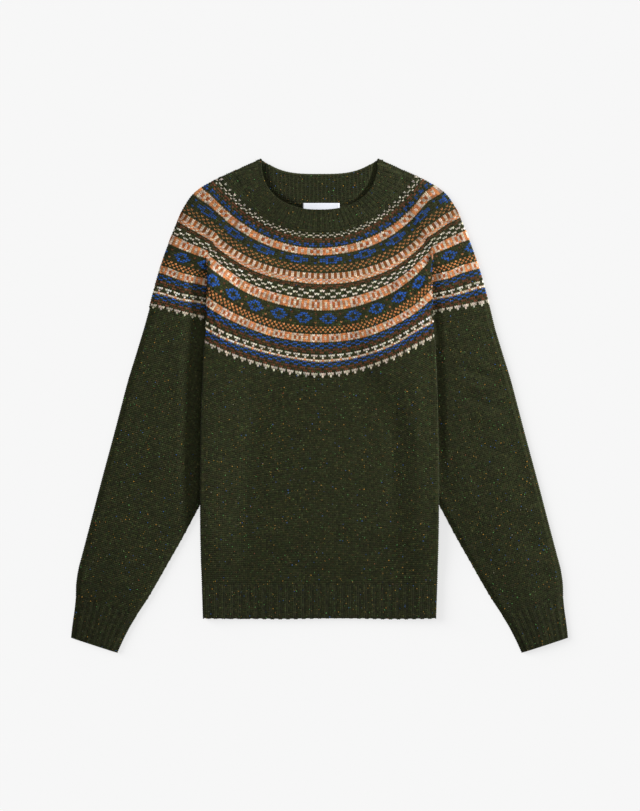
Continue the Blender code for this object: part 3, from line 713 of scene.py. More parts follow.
SLEEVE_ROWS = (                # y and x of the outer edge, width, tilt in degrees
    (113.3, 260.2, 195.5, 14.9), (74.9, 271.9, 191.7, 15.1), (37.9, 283.3, 186.4, 15.4),
    (-2.0, 293.8, 177.2, 15.6), (-50.8, 306.6, 164.2, 16.0), (-90.7, 317.4, 154.4, 16.3),
    (-129.1, 327.6, 145.2, 16.5), (-161.6, 336.0, 136.9, 16.7), (-195.6, 344.9, 127.4, 17.0),
    (-222.2, 351.9, 120.2, 17.2), (-241.4, 356.9, 114.7, 17.3), (-262.1, 360.1, 106.2, 17.4),
    (-281.8, 360.8, 95.3, 17.6))
SLEEVE_CREASES = {             # on the wearer's left (+x) and right (-x)
    1: (((208, 52), (264, 37), 6, -1.3), ((206, 30), (268, 18), 7, 0.8),
        ((212, 9), (276, -8), 6, -1.2), ((222, -14), (290, -34), 9, 0.8),
        ((238, -60), (300, -84), 11, -0.7), ((262, -120), (322, -168), 12, 0.8),
        ((300, -190), (338, -236), 9, -0.8), ((318, -216), (352, -252), 7, 0.8)),
    -1: (((-204, 74), (-262, 44), 10, 0.7), ((-214, 20), (-276, 0), 10, -0.7),
         ((-226, -44), (-296, -60), 12, 0.8), ((-250, -108), (-312, -128), 11, -0.7),
         ((-282, -176), (-336, -206), 10, 0.7), ((-306, -226), (-350, -246), 7, -0.8))}


def sleeve_top(x, y):
    """Top of a sleeve or of the yoke's shoulder, dipping to the body's fold."""
    beyond = np.abs(x) - body_edge(y)
    wide = 1.0 - soft_step((beyond - TRENCH_WIDE[0]) / TRENCH_WIDE[1])
    steep = 1.0 - sum(share * soft_step((beyond - start) / run)
                      for share, start, run in TRENCH_STEEP)
    exit_y, exit_run = SLEEVE_EXIT
    under = soft_step((APEX_Y - y) / PUCKER) * soft_step((y - exit_y) / exit_run + 1.0)
    loft = np.where(x < 0, *SLEEVE_LOFT)
    full = mix(SHOULDER_LOFT, loft, soft_step((APEX_Y - y) / LOFT_CHANGE))
    half_back = soft_step((LOFT_RETURN[0] - y) / LOFT_RETURN[1])
    full = mix(full, 0.5 * (loft + SHOULDER_LOFT), half_back)
    return mix(full, TRENCH, np.where(x < 0, wide, steep) * under)


def rounded(height, from_edge):
    """Height near an outer edge: a quick rise off its round, then a slow one."""
    quick = 2 * EDGE_RADIUS + EDGE_RISE * soft_step(from_edge / EDGE_QUICK)
    return mix(quick, height, soft_step(from_edge / EDGE_RUN))


def row_reader(rows):
    """Smooth outer edge, width and tilt along a sleeve, as functions of its outer edge's y."""
    table = np.array(rows)
    return [read_down(table[:, (0, k)]) for k in (1, 2, 3)]


def tube_place(y, a, readers, side, creases=(), rib=None):
    """Point on a flattened tube: y its outer edge's place, a the cloth's run from that edge,
    over the top for a > 0 and underneath for a < 0."""
    edge_x, width, tilt = (reader(y) for reader in readers)
    quarter = 0.5 * math.pi * EDGE_RADIUS
    flat = width - 2 * EDGE_RADIUS
    run = np.abs(a)
    first = np.clip(run / quarter, 0, 1) * 0.5 * math.pi
    last = np.clip((run - quarter - flat) / quarter, 0, 1) * 0.5 * math.pi
    distance = EDGE_RADIUS * (1 - np.cos(first) + np.sin(last)) + np.clip(run - quarter, 0, flat)
    lift = np.where(last > 0, np.cos(last), np.sin(first))
    turn = np.radians(tilt)
    x = side * (edge_x - distance * np.cos(turn))
    down = y - distance * np.sin(turn)
    from_edge = np.minimum(distance, width - distance) - EDGE_RADIUS
    tall = rounded(sleeve_top(x, down), from_edge)
    tall = tall + creased(x, down, creases) * soft_step(from_edge / TUBE_CREASE_MARGIN)
    if rib is not None:
        tall = tall + rib(a, y) * soft_step(from_edge / TUBE_RIB_MARGIN + 0.5)
    over = np.where(lift < 1.0 - 1e-9, EDGE_RADIUS * (1 + lift), tall)
    return np.stack([x, down, np.where(a >= 0, over, EDGE_RADIUS * (1 - lift))], -1)


def tube_length(y, readers):
    """Run of the cloth over the top of a tube, from edge to edge."""
    return (math.pi - 2) * EDGE_RADIUS + readers[1](np.asarray(y))


def tube_grid(ys, readers, side, fractions, **more):
    """Closed grid of a tube whose rows run up the sleeve."""
    rows = []
    for y in ys:
        a = np.concatenate([fractions, -fractions[-2:0:-1]]) * tube_length(y, readers)
        rows.append(tube_place(np.full(len(a), y), a, readers, side, **more))
    grid = np.array(rows)
    return grid[:, ::-1] if side > 0 else grid


def tube_row(y, row_height, readers, side, column, **more):
    """A row of loops round a tube, in columns beside its outer edge, with the run to each."""
    total = float(tube_length(y, readers))
    a = columns_of(int(total / column), column)
    a = a[np.abs(a) < total - 0.4 * column]
    ys = np.full(len(a), y)

    def place(up, on):
        return tube_place(ys + up, a + on, readers, side, **more)

    across = (place(0, 0.5) - place(0, -0.5)) * column * -side
    return [place(0, 0), across, unit(place(0.5, 0) - place(-0.5, 0)) * row_height, a]


sleeve_readers = row_reader(SLEEVE_ROWS)
HEAD_Y, HEAD_X, _, HEAD_TILT = SLEEVE_ROWS[0]
WRIST_Y = SLEEVE_ROWS[-1][0]


def seam_place(distance, side):
    """Point of the sleeve's upper end, on the yoke's seam and then back under the body."""
    distance = distance[..., None]
    on_seam = np.array(SEAM_OUTER) + (np.array(SEAM_INNER) - SEAM_OUTER) * (distance / SEAM_FOOT)
    turn = math.radians(HEAD_TILT)
    way = np.array([math.cos(turn), math.sin(turn)])
    hidden = np.array([HEAD_X, HEAD_Y + HIDDEN_END]) - way * distance
    here = np.where(distance <= SEAM_FOOT + SEAM_TAIL, on_seam, hidden) * np.array([side, 1.0])
    here[..., 1] += row_shift(6.0, here[..., 0], 1.0)
    return here


def sleeve_head(row, share, side):
    """Moves a row of the first section towards the yoke's seam by share."""
    distance = np.linalg.norm(row[..., :2] - np.array([HEAD_X * side, HEAD_Y]), axis=-1)
    moved = row.copy()
    moved[..., :2] = mix(row[..., :2], seam_place(distance, side), share)
    tall = rounded(sleeve_top(moved[..., 0], moved[..., 1]), distance - EDGE_RADIUS)
    moved[..., 2] = np.where(row[..., 2] > TUBE_TOP, tall, row[..., 2])
    return moved


sleeve_fractions = stretches((0, 0.03, 4), (0.05, 0.95, 34), (0.97, 1, 4))
row_count = round((HEAD_Y - WRIST_Y) * SLEEVE_SLANT / SLEEVE_ROW)
row_ys = WRIST_Y + (np.arange(row_count) + 0.5) * (HEAD_Y - WRIST_Y) / row_count
head_a = columns_of(HEAD_HALF_COLUMNS, SLEEVE_COLUMN)
head_ys = np.full(len(head_a), HEAD_Y)
for side, word in ((1, "left"), (-1, "right")):
    creases = SLEEVE_CREASES[side]
    grid = tube_grid(np.linspace(WRIST_Y, HEAD_Y, 72), sleeve_readers, side, sleeve_fractions,
                     creases=creases)
    head = [sleeve_head(grid[-1], share, side) for share in HEAD_SHARES]
    cloth = ground_cloth("sleeve_" + word, np.concatenate([grid, head]), green_wool, closed=True)
    *laid, a = joined([tube_row(y, SLEEVE_ROW * ROW_STRETCH, sleeve_readers, side, SLEEVE_COLUMN,
                                creases=creases) for y in row_ys])
    x, y = laid[0][:, 0], laid[0][:, 1]
    showing = (a < 0) | (np.abs(x) > body_edge(y) - UNDER_FOLD) | (y < BELOW_HEM_Y)
    parts = [chosen(laid, showing)]
    for row in range(HEAD_ROWS):
        def place(on, up):
            flat = tube_place(head_ys, head_a + on, sleeve_readers, side)
            return sleeve_head(flat, (row + 0.5 + up) / HEAD_ROWS, side)

        across = (place(0.5, 0) - place(-0.5, 0)) * SLEEVE_COLUMN * -side
        parts.append([place(0, 0), across, place(0, 0.5) - place(0, -0.5)])
    laid = joined(parts)
    loops = green_knit("sleeve_%s_stitches" % word, laid, 20 + side, 8)
    top_centres.append(laid[0][laid[0][:, 2] > SEEN_FROM_ABOVE])
    finish_pieces("green_wool", cloth, loops)


# Cuffs.  A two-and-two rib in the same wool, 60 mm deep, knitted on to the sleeve.  It draws the
# sleeve in and is cast off at the wrist.

CUFF_ROWS = (
    (-281.8, 360.8, 95.3, 17.6), (-302.0, 362.9, 86.4, 17.7),
    (-322.7, 365.8, 79.4, 17.9), (-343.3, 368.1, 72.8, 18.0))
CUFF_RIBS = 10
CUFF_RIB_HEIGHT = 0.25
CUFF_KNIT_ROWS = 22
# Painted shade: the cuffs' purl columns are darker, to offset the light they catch.
CUFF_PURL_PAINTED_SHADE = tuple(0.72 * part for part in GREEN)
CUFF_TOP, CUFF_FOOT = CUFF_ROWS[0][0], CUFF_ROWS[-1][0]
cuff_readers = row_reader(CUFF_ROWS)


def cuff_rib(a, y):
    return (rib_wave(a, tube_length(y, cuff_readers) / CUFF_RIBS) - RIB_MIDDLE) * CUFF_RIB_HEIGHT


row_height = (CUFF_TOP - CUFF_FOOT) / CUFF_KNIT_ROWS
for side, word in ((1, "left"), (-1, "right")):
    grid = tube_grid(np.linspace(CUFF_FOOT, CUFF_TOP, 12), cuff_readers, side,
                     np.linspace(0, 1, 81), rib=cuff_rib)
    cloth = ground_cloth("cuff_" + word, grid, green_wool, closed=True)
    knits, purls = [], []
    for y in CUFF_FOOT + (np.arange(CUFF_KNIT_ROWS) + 0.5) * row_height:
        pitch = float(tube_length(y, cuff_readers)) / CUFF_RIBS
        *laid, a = tube_row(y, row_height, cuff_readers, side, pitch / 4, rib=cuff_rib)
        is_knit = rib_wave(a, pitch) > 0.5
        knits.append(chosen(laid, is_knit))
        purls.append(chosen(laid, ~is_knit))
    knits, purls = joined(knits), joined(purls)
    top_centres.append(knits[0][knits[0][:, 2] > SEEN_FROM_ABOVE])
    knit_side = green_knit("cuff_%s_knit" % word, knits, 30 + side, 9)
    purl_side = green_knit("cuff_%s_purl" % word, purls, 33 + side, 10, CUFF_PURL_PAINTED_SHADE, purl_loop)
    finish_pieces("green_wool", cloth, knit_side, purl_side)


# Yoke.  One round piece over front, shoulders and back, in stranded colourwork: bands of cream,
# orange, rust, blue and brown on the green ground, each a small repeat knitted round and round.
# At each side it dips into the fold that the body's side continues.

OUTLINE = read_down((          # outer edge: y, half width
    (366.0, 86.5), (352.0, 116.1), (336.5, 151.4), (318.0, 182.0), (298.0, 198.6),
    (272.9, 210.9), (244.8, 222.0), (204.9, 236.2), (153.2, 250.6), (113.3, 260.2)))
NECK_HALF = 86.5
SHOULDER_Y = 366.0
NECK_FRONT_Y = 289.8
NECK_BACK_Y = 342.8
NECK_POWER = 2.4
NECK_BACK_POWER = 3.3
RIB_SHARE = (0.83, 0.58, 0.78) # how far the neck band reaches: front, shoulder, back
NECK_LIFT = 3.2                # front of the neck above the yoke
LIFT_FADES = (3.0, 0.55)       # ring where that ends, share of the half ring where it fades
BACK_LIFT = 3.0                # back of the neck above the table
BACK_RISE_IN = (2.0, 3.2, 45.0)    # how far inside the front's edge it starts: middle, more, x
BACK_RISE_RUN = 5.0
OPENING = 80.0                 # size of the opening that those distances are shares of
CHAIN_X, CHAIN_Y, CHAIN_FRONT, CHAIN_BACK, CHAIN_POWER = 151.4, 336.5, 253.7, 287.7, 2.25
# Rings below the first: front centre, crest x, crest y, foot x, foot y, outer y, back centre,
# power, fold
RINGS = (
    (227.8, 132.0, 274.6, 139.0, 281.3, 317.3, 262.0, 2.3, 0.0),
    (187.2, 150.0, 238.4, 158.0, 245.0, 275.9, 212.0, 2.5, 0.0),
    (148.0, 163.5, 212.3, 173.0, 223.5, 244.8, 163.0, 2.2, 1.0),
    (100.0, 166.0, 153.2, 175.0, 184.2, 200.5, 108.0, 2.2, 11.0),
    (44.4, 168.5, 95.5, 178.0, 136.6, 152.0, 44.4, 1.75, 14.0))
RING_OUTER = [CHAIN_Y] + [ring[5] for ring in RINGS]
RING_SHARE = (0, 0.76, 0.80, 1.0)      # centre, crest, foot and outer edge on the neck's rings
BACK_CREST_IN, BACK_FOOT_IN = 7.5, 6.5
EDGE_SHIFT = ((0, 1, 2, 3, 4, 6), (0.35, 0.35, 0.40, 0.69, 0.84, 0.95))  # rows, share of shift
EDGE_REACH = 45.0
SLEEVE_LEVELS = (2.2, 0.8)     # ring where the fold starts to part front from sleeve, and run
STEP = 0.02                    # step in level that gives the outline's way
NECK_SIDE_ROWS = 12            # plain rows between the neck band and the first ring
NECK_SIDE_ROW = 2.95
NECK_SIDE_LOOP = 4.36
BACK_HEIGHT = 2.4              # loops lower than this are on the back
BACK_FALL = 1.6                # how soon the back comes down past its crest
COLUMN_PLAY = 4.0              # how far a loop may move along its row to line up
ROW_END = 0.2
SMALL_DASH = 0.80              # the lower-case cream is pulled tighter
GROUND_PAINTED_SHADE_AND_TINT = (0.55, 0.42, 0.34)    # painted shade, warmer in hue: how dark the patterned ground cloth between the loops is, in red, green, blue
PLAIN_TURN = 3.0               # how soon a row with green loops counts as plain
# Chart letters: green ground, creams W w T V, oranges O C c, rusts R K, blues B b, brown N
YARNS = {
    ".": GREEN,
    "W": (0.650, 0.525, 0.400),
    "O": (0.620, 0.232, 0.082),
    "w": (0.800, 0.715, 0.575),
    "T": (0.880, 0.790, 0.640),
    "V": (0.590, 0.520, 0.410),
    "C": (0.660, 0.260, 0.088),
    "c": (0.430, 0.185, 0.066),
    "R": (0.420, 0.110, 0.024),
    "K": (0.270, 0.080, 0.014),
    "B": (0.022, 0.104, 0.410),
    "b": (0.021, 0.086, 0.340),
    "N": (0.155, 0.056, 0.026),
}
# Bands from the neck down: top and foot as pixel rows at the front's middle, loop width in
# pixels, and chart.  RING_ROWS says where the yoke's rings cross that same line.
RING_ROWS = (229.9, 234.0, 251.5, 279.0, 305.5, 338.0, 375.6, 413.2)
BANDS = (
    (232.9, 238.2, 2.34, ("w..", ".ww", "w..")),
    (238.2, 243.0, 2.60, ("N.NN", ".N.N")),
    (243.0, 246.8, 2.60, ("bb.b..", "b.bbb.")),
    (246.8, 248.2, 3.05, ("....",)),
    (248.2, 255.2, 3.09, ("WOOOWWOW", "WOWOWRWR", "WOWOWRWR", "WOOOWWOW")),
    (255.2, 256.8, 2.80, ("....",)),
    (256.8, 264.2, 2.80, ("..bbbb....b.", "bbb..bbb....", "bbb..bbb....", "..bbbb....b.")),
    (264.2, 265.6, 3.05, ("....",)),
    (265.6, 271.8, 3.05, ("c.", ".c", "c.")),
    (271.8, 273.4, 2.87, ("....",)),
    (273.4, 279.0, 2.87, ("WK", "WK", "WK")),
    (279.0, 284.0, 2.87, ("OW", "WO", "OW")),
    (284.0, 285.3, 2.69, ("....",)),
    (285.3, 289.2, 2.69, ("N.NN", ".NN.")),
    (289.4, 298.8, 2.69, ("ww..", "..ww", "ww..")),
    (298.8, 300.0, 2.60, ("....",)),
    (300.0, 310.4, 2.60, ("WOOOWWRW", "WOWOWRWR", "WOWOWRWR", "WOWOWRWR", "WOOOWWOW")),
    (310.4, 313.6, 2.47, ("....", "....")),
    (313.6, 324.0, 2.47, ("..BBB...N.", ".BB.BB....", "BB...BB...", ".BB.BB....", "..BBB...c.")),
    (324.0, 326.6, 2.35, ("....",)),
    (326.6, 333.2, 2.35, ("C.", ".C", "C.")),
    (333.2, 334.5, 2.34, ("....",)),
    (334.5, 342.3, 2.34, ("WOOOWWOW", "WOWOWRWR", "WOWOWRWR", "WOOOWWOW")),
    (342.3, 343.4, 2.25, ("....",)),
    (343.4, 349.0, 2.25, ("BB..", "..BB", "BB..")),
    (349.0, 354.2, 2.22, ("N.NN", "NN..")),
    (354.2, 354.8, 2.22, ("....",)),
    (354.8, 362.2, 2.22, ("TTT.", ".T..", "wOww")),
    (362.2, 367.8, 2.15, ("BB..", "..BB", "BB..")),
    (367.8, 373.2, 2.05, ("N.NN", "NN..")),
    (373.2, 378.0, 2.05, ("VVV.", ".V..")),
)
patterned_wool = wool("patterned wool", 0.30, 0.08)


def run_to(points):
    """Length along a line of points to each of them."""
    return np.concatenate([[0.0], np.cumsum(np.linalg.norm(np.diff(points, axis=0), axis=1))])


def line_along(points, share):
    lengths = run_to(points)
    at = np.asarray(share) * lengths[-1]
    return np.stack([np.interp(at, lengths, points[:, k]) for k in (0, 1)], -1)


def power_line(x_end, y_end, y_centre, power):
    share = np.linspace(0, 1, 61)
    return np.stack([x_end * share, y_centre + (y_end - y_centre) * share**power], -1)


quarter_turn = np.linspace(0, 0.5 * math.pi, 61)
NECK_EDGE = np.stack([NECK_HALF * np.sin(quarter_turn) ** (2 / NECK_POWER),
                      mix(SHOULDER_Y, NECK_FRONT_Y, np.cos(quarter_turn) ** (2 / NECK_POWER))], -1)
NECK_EDGE_BACK = power_line(NECK_HALF, SHOULDER_Y, NECK_BACK_Y, NECK_BACK_POWER)
CHAIN_LINE = power_line(CHAIN_X, CHAIN_Y, CHAIN_FRONT, CHAIN_POWER)
CHAIN_LINE_BACK = power_line(CHAIN_X, CHAIN_Y, CHAIN_BACK, CHAIN_POWER)


def neck_point(share, depth, back):
    """Plan point: depth 0 at the neck edge, 1 at the band's seam, 2 at the first ring."""
    edge = line_along(NECK_EDGE_BACK if back else NECK_EDGE, share)
    ring = line_along(CHAIN_LINE_BACK if back else CHAIN_LINE, share)
    seam = mix(RIB_SHARE[2] if back else RIB_SHARE[0], RIB_SHARE[1], np.asarray(share))
    reach = seam * depth if depth <= 1.0 else mix(seam, 1.0, depth - 1.0)
    return mix(edge, ring, reach[..., None])


def past_fold(turn):
    return soft_step((turn - 0.25) / 0.5)


def ring_plan(ring, t, back):
    """Plan point on a yoke ring, t 0 centre, 1 crest, 2 foot of the fold, 3 outer edge."""
    centre, crest_x, crest_y, foot_x, foot_y, outer_y, back_centre, power, fold = ring
    outer_x = float(OUTLINE(np.array(outer_y)))
    if back:
        crest_x, foot_x = crest_x - BACK_CREST_IN, foot_x - BACK_FOOT_IN
        centre, fold = back_centre, 0.0
    step = foot_x - crest_x
    start = crest_x - fold - 0.25 * step * fold / (fold + 3.0)
    turn = np.clip(t - 1.0, 0.0, 1.0)
    x = start * np.clip(t, 0, 1) + step * turn + fold * np.sin(2 * math.pi * turn)
    x = x + (outer_x - start - step) * np.clip(t - 2.0, 0.0, 1.0)
    front_y = centre + (crest_y - centre) * (x / crest_x) ** power
    sleeve_y = foot_y + (outer_y - foot_y) * (x - foot_x) / (outer_x - foot_x)
    return np.stack([x, mix(front_y, sleeve_y, past_fold(turn))], -1)


def ring_share(t):
    return np.interp(t, range(4), RING_SHARE)


def yoke_plan(v, t, back):
    """Plan point on the yoke, v 0 at the neck band's seam, 1 at the first ring, 6 at the last."""
    if v <= 1.0:
        return neck_point(ring_share(t), 1.0 + v, back)
    whole = min(int(v - 1.0), len(RINGS) - 1)
    part = v - 1.0 - whole
    if whole == 0:
        upper = neck_point(ring_share(t), 2.0, back)
    else:
        upper = ring_plan(RINGS[whole - 1], t, back)
    point = mix(upper, ring_plan(RINGS[whole], t, back), part)
    ends = np.array(RING_OUTER[whole:whole + 2])
    bulge = float(OUTLINE(mix(*ends, part)) - mix(*OUTLINE(ends), part))
    point[..., 0] += bulge * np.clip(t - 2.0, 0.0, 1.0)
    return point


def neck_rise(depth, share):
    last, fades = LIFT_FADES
    across = 1.0 - soft_step((share - fades) / (1.0 - fades))
    return NECK_LIFT * (1.0 - soft_step(depth / last)) * across


def back_neck_rise(x, y):
    """The back rises a little inside the opening, and drops to a crevice at the front's edge."""
    down = np.clip((SHOULDER_Y - y) / (SHOULDER_Y - NECK_FRONT_Y), 0.0, None)
    inside = 1.0 - (np.abs(x / NECK_HALF) ** NECK_POWER + down**NECK_POWER) ** (1.0 / NECK_POWER)
    first, more, reach = BACK_RISE_IN
    start = first + more * soft_step(x / reach)
    return BACK_LIFT * soft_step((inside * OPENING - start) / BACK_RISE_RUN)


def edge_inward(tangent):
    return np.array([tangent[1], -tangent[0]]) / np.linalg.norm(tangent)


def edge_arc(outer, inward, share):
    """Points round the outer fold, share 0 on top to 1 beneath."""
    turn = (0.5 - share) * math.pi
    place = outer + inward * (EDGE_RADIUS * (1.0 - np.cos(turn)))[:, None]
    return np.concatenate([place, (EDGE_RADIUS * (1.0 + np.sin(turn)))[:, None]], 1)


def slid(plan, v, shift, from_edge):
    """Shifts plan points up the yoke; near its outline less, and along it."""
    near = 1.0 - soft_step(from_edge / EDGE_REACH)
    shift = shift * mix(1.0, np.interp(v, *EDGE_SHIFT), near)
    y = plan[..., 1]
    along = (OUTLINE(y + shift) - OUTLINE(y)) * near
    return plan + np.stack([along, shift + np.zeros(np.shape(along))], -1)


def yoke_place(v, t, side):
    """Points of half a yoke row: t 0 to 3 over the front, to 4 round the edge, to 7 behind."""
    outer_t = np.array([3.0])
    near = min(v, len(RINGS) + 1 - STEP)
    below, above = (yoke_plan(level, outer_t, False)[0] for level in (near + STEP, near))
    inward = edge_inward(below - above)
    beyond = float(soft_step((v - SLEEVE_LEVELS[0]) / SLEEVE_LEVELS[1]))
    plain_outer = yoke_plan(v, outer_t, False)
    outer = slid(plain_outer, v, row_shift(v, side * plain_outer[:, 0], beyond), 0.0)[0]

    def settled(t, back):
        """Plan points, shifted and clear of the edge's round, and how far each is in the fold."""
        plan = yoke_plan(v, t, back)
        turn = np.clip(t - 1.0, 0.0, 1.0)
        if back:
            shift = row_shift(v, side * plan[:, 0], beyond) * turn
        else:
            shift = row_shift(v, side * plan[:, 0], beyond * past_fold(turn))
        plan = slid(plan, v, shift, np.linalg.norm(plan - plain_outer[0], axis=1))
        return plan + inward * (EDGE_RADIUS * np.clip(t - 2.0, 0.0, 1.0))[:, None], turn

    t = np.asarray(t, float)
    front, rear = t <= 3.0, t >= 4.0
    points = np.zeros((len(t), 3))
    if front.any():
        plan, turn = settled(t[front], False)
        x, y = side * plan[:, 0], plan[:, 1]
        z = mix(front_top(x, y, y), sleeve_top(x, y), soft_step(turn))
        z = z + neck_rise(1.0 + v, ring_share(t[front]))
        from_edge = np.maximum(np.linalg.norm(plan - outer, axis=1) - EDGE_RADIUS, 0.0)
        points[front] = np.column_stack([plan, rounded(z, from_edge)])
    edge = ~front & ~rear
    points[edge] = edge_arc(outer, inward, t[edge] - 3.0)
    if rear.any():
        plan, turn = settled(7.0 - t[rear], True)
        x, y = plan.T
        z = mix(back_under(x, y, y), 0.0, soft_step(turn * BACK_FALL)) + back_neck_rise(x, y)
        points[rear] = np.column_stack([plan, z])
    points[:, 0] *= side
    return points


def neck_side_place(offset, t, side):
    """Points a set distance from the first ring towards the neck band, and which lie below it."""
    ring, seam = yoke_place(1.0, t, side), yoke_place(0.0, t, side)
    reach = np.linalg.norm(seam - ring, axis=1)
    return mix(ring, seam, (offset / reach)[:, None]), offset < reach


def steps(*counts):
    """From 0 up, with so many even steps in each whole number."""
    runs = (np.linspace(k, k + 1, n + 1)[1:] for k, n in enumerate(counts))
    return np.concatenate([[0.0], *runs])


def even_spots(place, fine, count, side):
    """Even spots for loops along half a row, and the loops' across vectors there."""
    lengths = run_to(place(fine))
    count = count(lengths[-1]) if callable(count) else count
    spots = (np.arange(count) + 0.5) / count * lengths[-1]
    t, t_low, t_high = (np.interp(spots + d, lengths, fine) for d in (0.0, -0.5, 0.5))
    return t, unit(place(t_high) - place(t_low)) * lengths[-1] / count * side


def whole_ring(place, level, t):
    """Both halves of a row, joined at the front's and the back's middle."""
    right, left = place(level, t, 1), place(level, t, -1)
    return np.concatenate([left[:0:-1], right[:-1]])


def level_at(pixel_row):
    return float(np.interp(pixel_row, RING_ROWS, range(len(RING_ROWS))))


half_t = steps(44, 16, 15, 6, 13, 4, 25)
fine_t = steps(*[120] * 7)
full_loop = one_loop("full_loop", ((0.08, -0.80), (0.40, 0.78), 0.29, 1.0),
                     ((-0.08, -0.80), (-0.40, 0.78), 0.29, 1.0))
parts, letters, is_full = [], [], []
for k in range(NECK_SIDE_ROWS):
    low, middle, high = ((k + d) * NECK_SIDE_ROW for d in (0.0, 0.5, 1.0))
    for side in (1, -1):
        t, across = even_spots(lambda t: neck_side_place(middle, t, side)[0], fine_t,
                               lambda length: 2 * round(length / NECK_SIDE_LOOP / 2), side)
        centres, kept = neck_side_place(middle, t, side)
        along = neck_side_place(high, t, side)[0] - neck_side_place(low, t, side)[0]
        parts.append(chosen([centres, across, along], kept))
        letters.append(np.full(kept.sum(), "."))
        is_full.append(np.zeros(kept.sum(), bool))

cloth_rows = []                # level and chart line of each row of the cloth
for band_top, band_foot, loop_pixels, chart in BANDS:
    ends = [level_at(mix(band_top, band_foot, k / len(chart))) for k in range(len(chart) + 1)]
    cloth_rows += [(0.5 * (top + foot), line) for top, foot, line in zip(ends, ends[1:], chart)]
    middle = level_at(0.5 * (band_top + band_foot))
    half_repeat = max(len(line) for line in chart) / 2
    for side in (1, -1):
        # The columns are set out along the band's middle row, and each row's loops lie beside them
        lengths = run_to(yoke_place(middle, fine_t, side))
        count = int(round(lengths[-1] / (loop_pixels * MM_PER_PIXEL) / half_repeat) * half_repeat)
        wide = lengths[-1] / count
        spots = (np.arange(count) + 0.5) * wide
        guide_t, before, after = (np.interp(spots + d, lengths, fine_t) for d in (0.0, -0.5, 0.5))
        guide = yoke_place(middle, guide_t, side)
        guide_way = unit(yoke_place(middle, after, side) - yoke_place(middle, before, side))
        order = np.arange(count) if side > 0 else -1 - np.arange(count)
        for row_top, row_foot, line in zip(ends, ends[1:], chart):
            level = 0.5 * (row_top + row_foot)
            lengths = run_to(yoke_place(level, fine_t, side))
            start = np.interp(guide_t, fine_t, lengths)
            t = guide_t
            for _ in range(2):
                off = np.sum((guide - yoke_place(level, t, side)) * guide_way, axis=-1)
                at = np.interp(t, fine_t, lengths) + off
                at = np.clip(at, start - COLUMN_PLAY, start + COLUMN_PLAY)
                t = np.interp(np.clip(at, ROW_END, lengths[-1] - ROW_END), lengths, fine_t)
            at = np.interp(t, fine_t, lengths)
            before, after = (np.interp(at + d, lengths, fine_t) for d in (-0.5, 0.5))
            across = unit(yoke_place(level, after, side) - yoke_place(level, before, side))
            across = across * wide * side
            along = yoke_place(row_top, t, side) - yoke_place(row_foot, t, side)
            parts.append([yoke_place(level, t, side), across, along])
            letters.append(np.array([line[k % len(line)] for k in order]))
            is_full.append(np.full(count, "W" in line and "." not in line) | (letters[-1] == "V"))
laid, letters, is_full = joined(parts), np.concatenate(letters), np.concatenate(is_full)
laid[2] = laid[2] * np.where(letters == "w", SMALL_DASH, 1.0)[:, None]
base = np.array([YARNS[letter] for letter in letters])
is_ground = letters == "."
colours = np.where(is_ground[:, None], tweed(base, laid[0], 40),
                   tweed(base, laid[0], 41, spread=0.20, cast=0.04))
facing_up = laid[0][:, 2] > BACK_HEIGHT
top_centres.append(laid[0][facing_up & is_ground])
thin, full = facing_up & ~is_full, facing_up & is_full
yoke_front_loops, yoke_full_loops, yoke_back_loops = (
    knit(name, chosen(laid, some), colours[some], patterned_wool, loop, seed=seed)
    for name, some, loop, seed in (("yoke_stitches", thin, knit_loop, 12),
                                   ("yoke_light_stitches", full, full_loop, 19),
                                   ("yoke_back_stitches", ~facing_up, knit_loop, 13)))

cloth_rows = [(v, "....") for v in np.linspace(0.0, 0.9, 9)] + cloth_rows + [(ends[-1], "....")]
cloth_rows.reverse()
grid = np.array([whole_ring(yoke_place, v, half_t) for v, _ in cloth_rows])
# The ground cloth takes each row's mean colour, darkened and warmed as painted shade between the
# loops; plain rows keep the green.
shades = np.array([np.mean([YARNS[letter] for letter in line], axis=0) for _, line in cloth_rows])
plain_share = np.array([line.count(".") / len(line) for _, line in cloth_rows])[:, None]
shades = mix(shades * GROUND_PAINTED_SHADE_AND_TINT, np.array(GREEN), soft_step(plain_share * PLAIN_TURN))
yoke_cloth = ground_cloth("yoke", grid, patterned_wool, closed=True,
                          colours=np.repeat(shades[:, None], grid.shape[1], 1))
yoke_loops = [yoke_front_loops, yoke_full_loops, yoke_back_loops]
finish_pieces("patterned_wool", yoke_cloth, *yoke_loops)


# Neck band.  A rib knitted on round the yoke's upper edge, 30 mm deep in front and 43 behind, in
# green wool.  Its front stands a little clear of the back, whose inside shows through the opening.

NECK_RIBS = 40                 # over half the ring
NECK_ROWS = 13
NECK_LAP = 1.06                # the ground cloth goes on a little under the yoke
BAND_ROUND = (0.8, 9.0)        # share of the front where its edge rounds off, run of its rise
BAND_KNIT = (0.05, 1.05)       # how far a knit column stands out, and its share of the width
BAND_PURL = (-0.06, 0.92)
INSIDE_Z = CLOTH_INSET + CLOTH + 0.5
# Painted shade: the inside of the back neck, in the opening under the front's edge, is a darker
# green.
INSIDE_PAINTED_SHADE_GREEN = tuple(0.82 * part for part in GREEN)
INSIDE_HALF_COLUMNS = 32
INSIDE_COLUMN = 2.95
INSIDE_ROW = 2.7
INSIDE_KNIT = (0.20, 1.1)      # the same two sizes inside the back neck
INSIDE_PURL = (0.10, 1.0)
INSIDE_FOOT = 276.0
INSIDE_TOP_GAP = 2.0           # gap to the back's edge
INSIDE_LAP = 9.0               # how far it goes on under the front
LABEL_TOP = 299.5


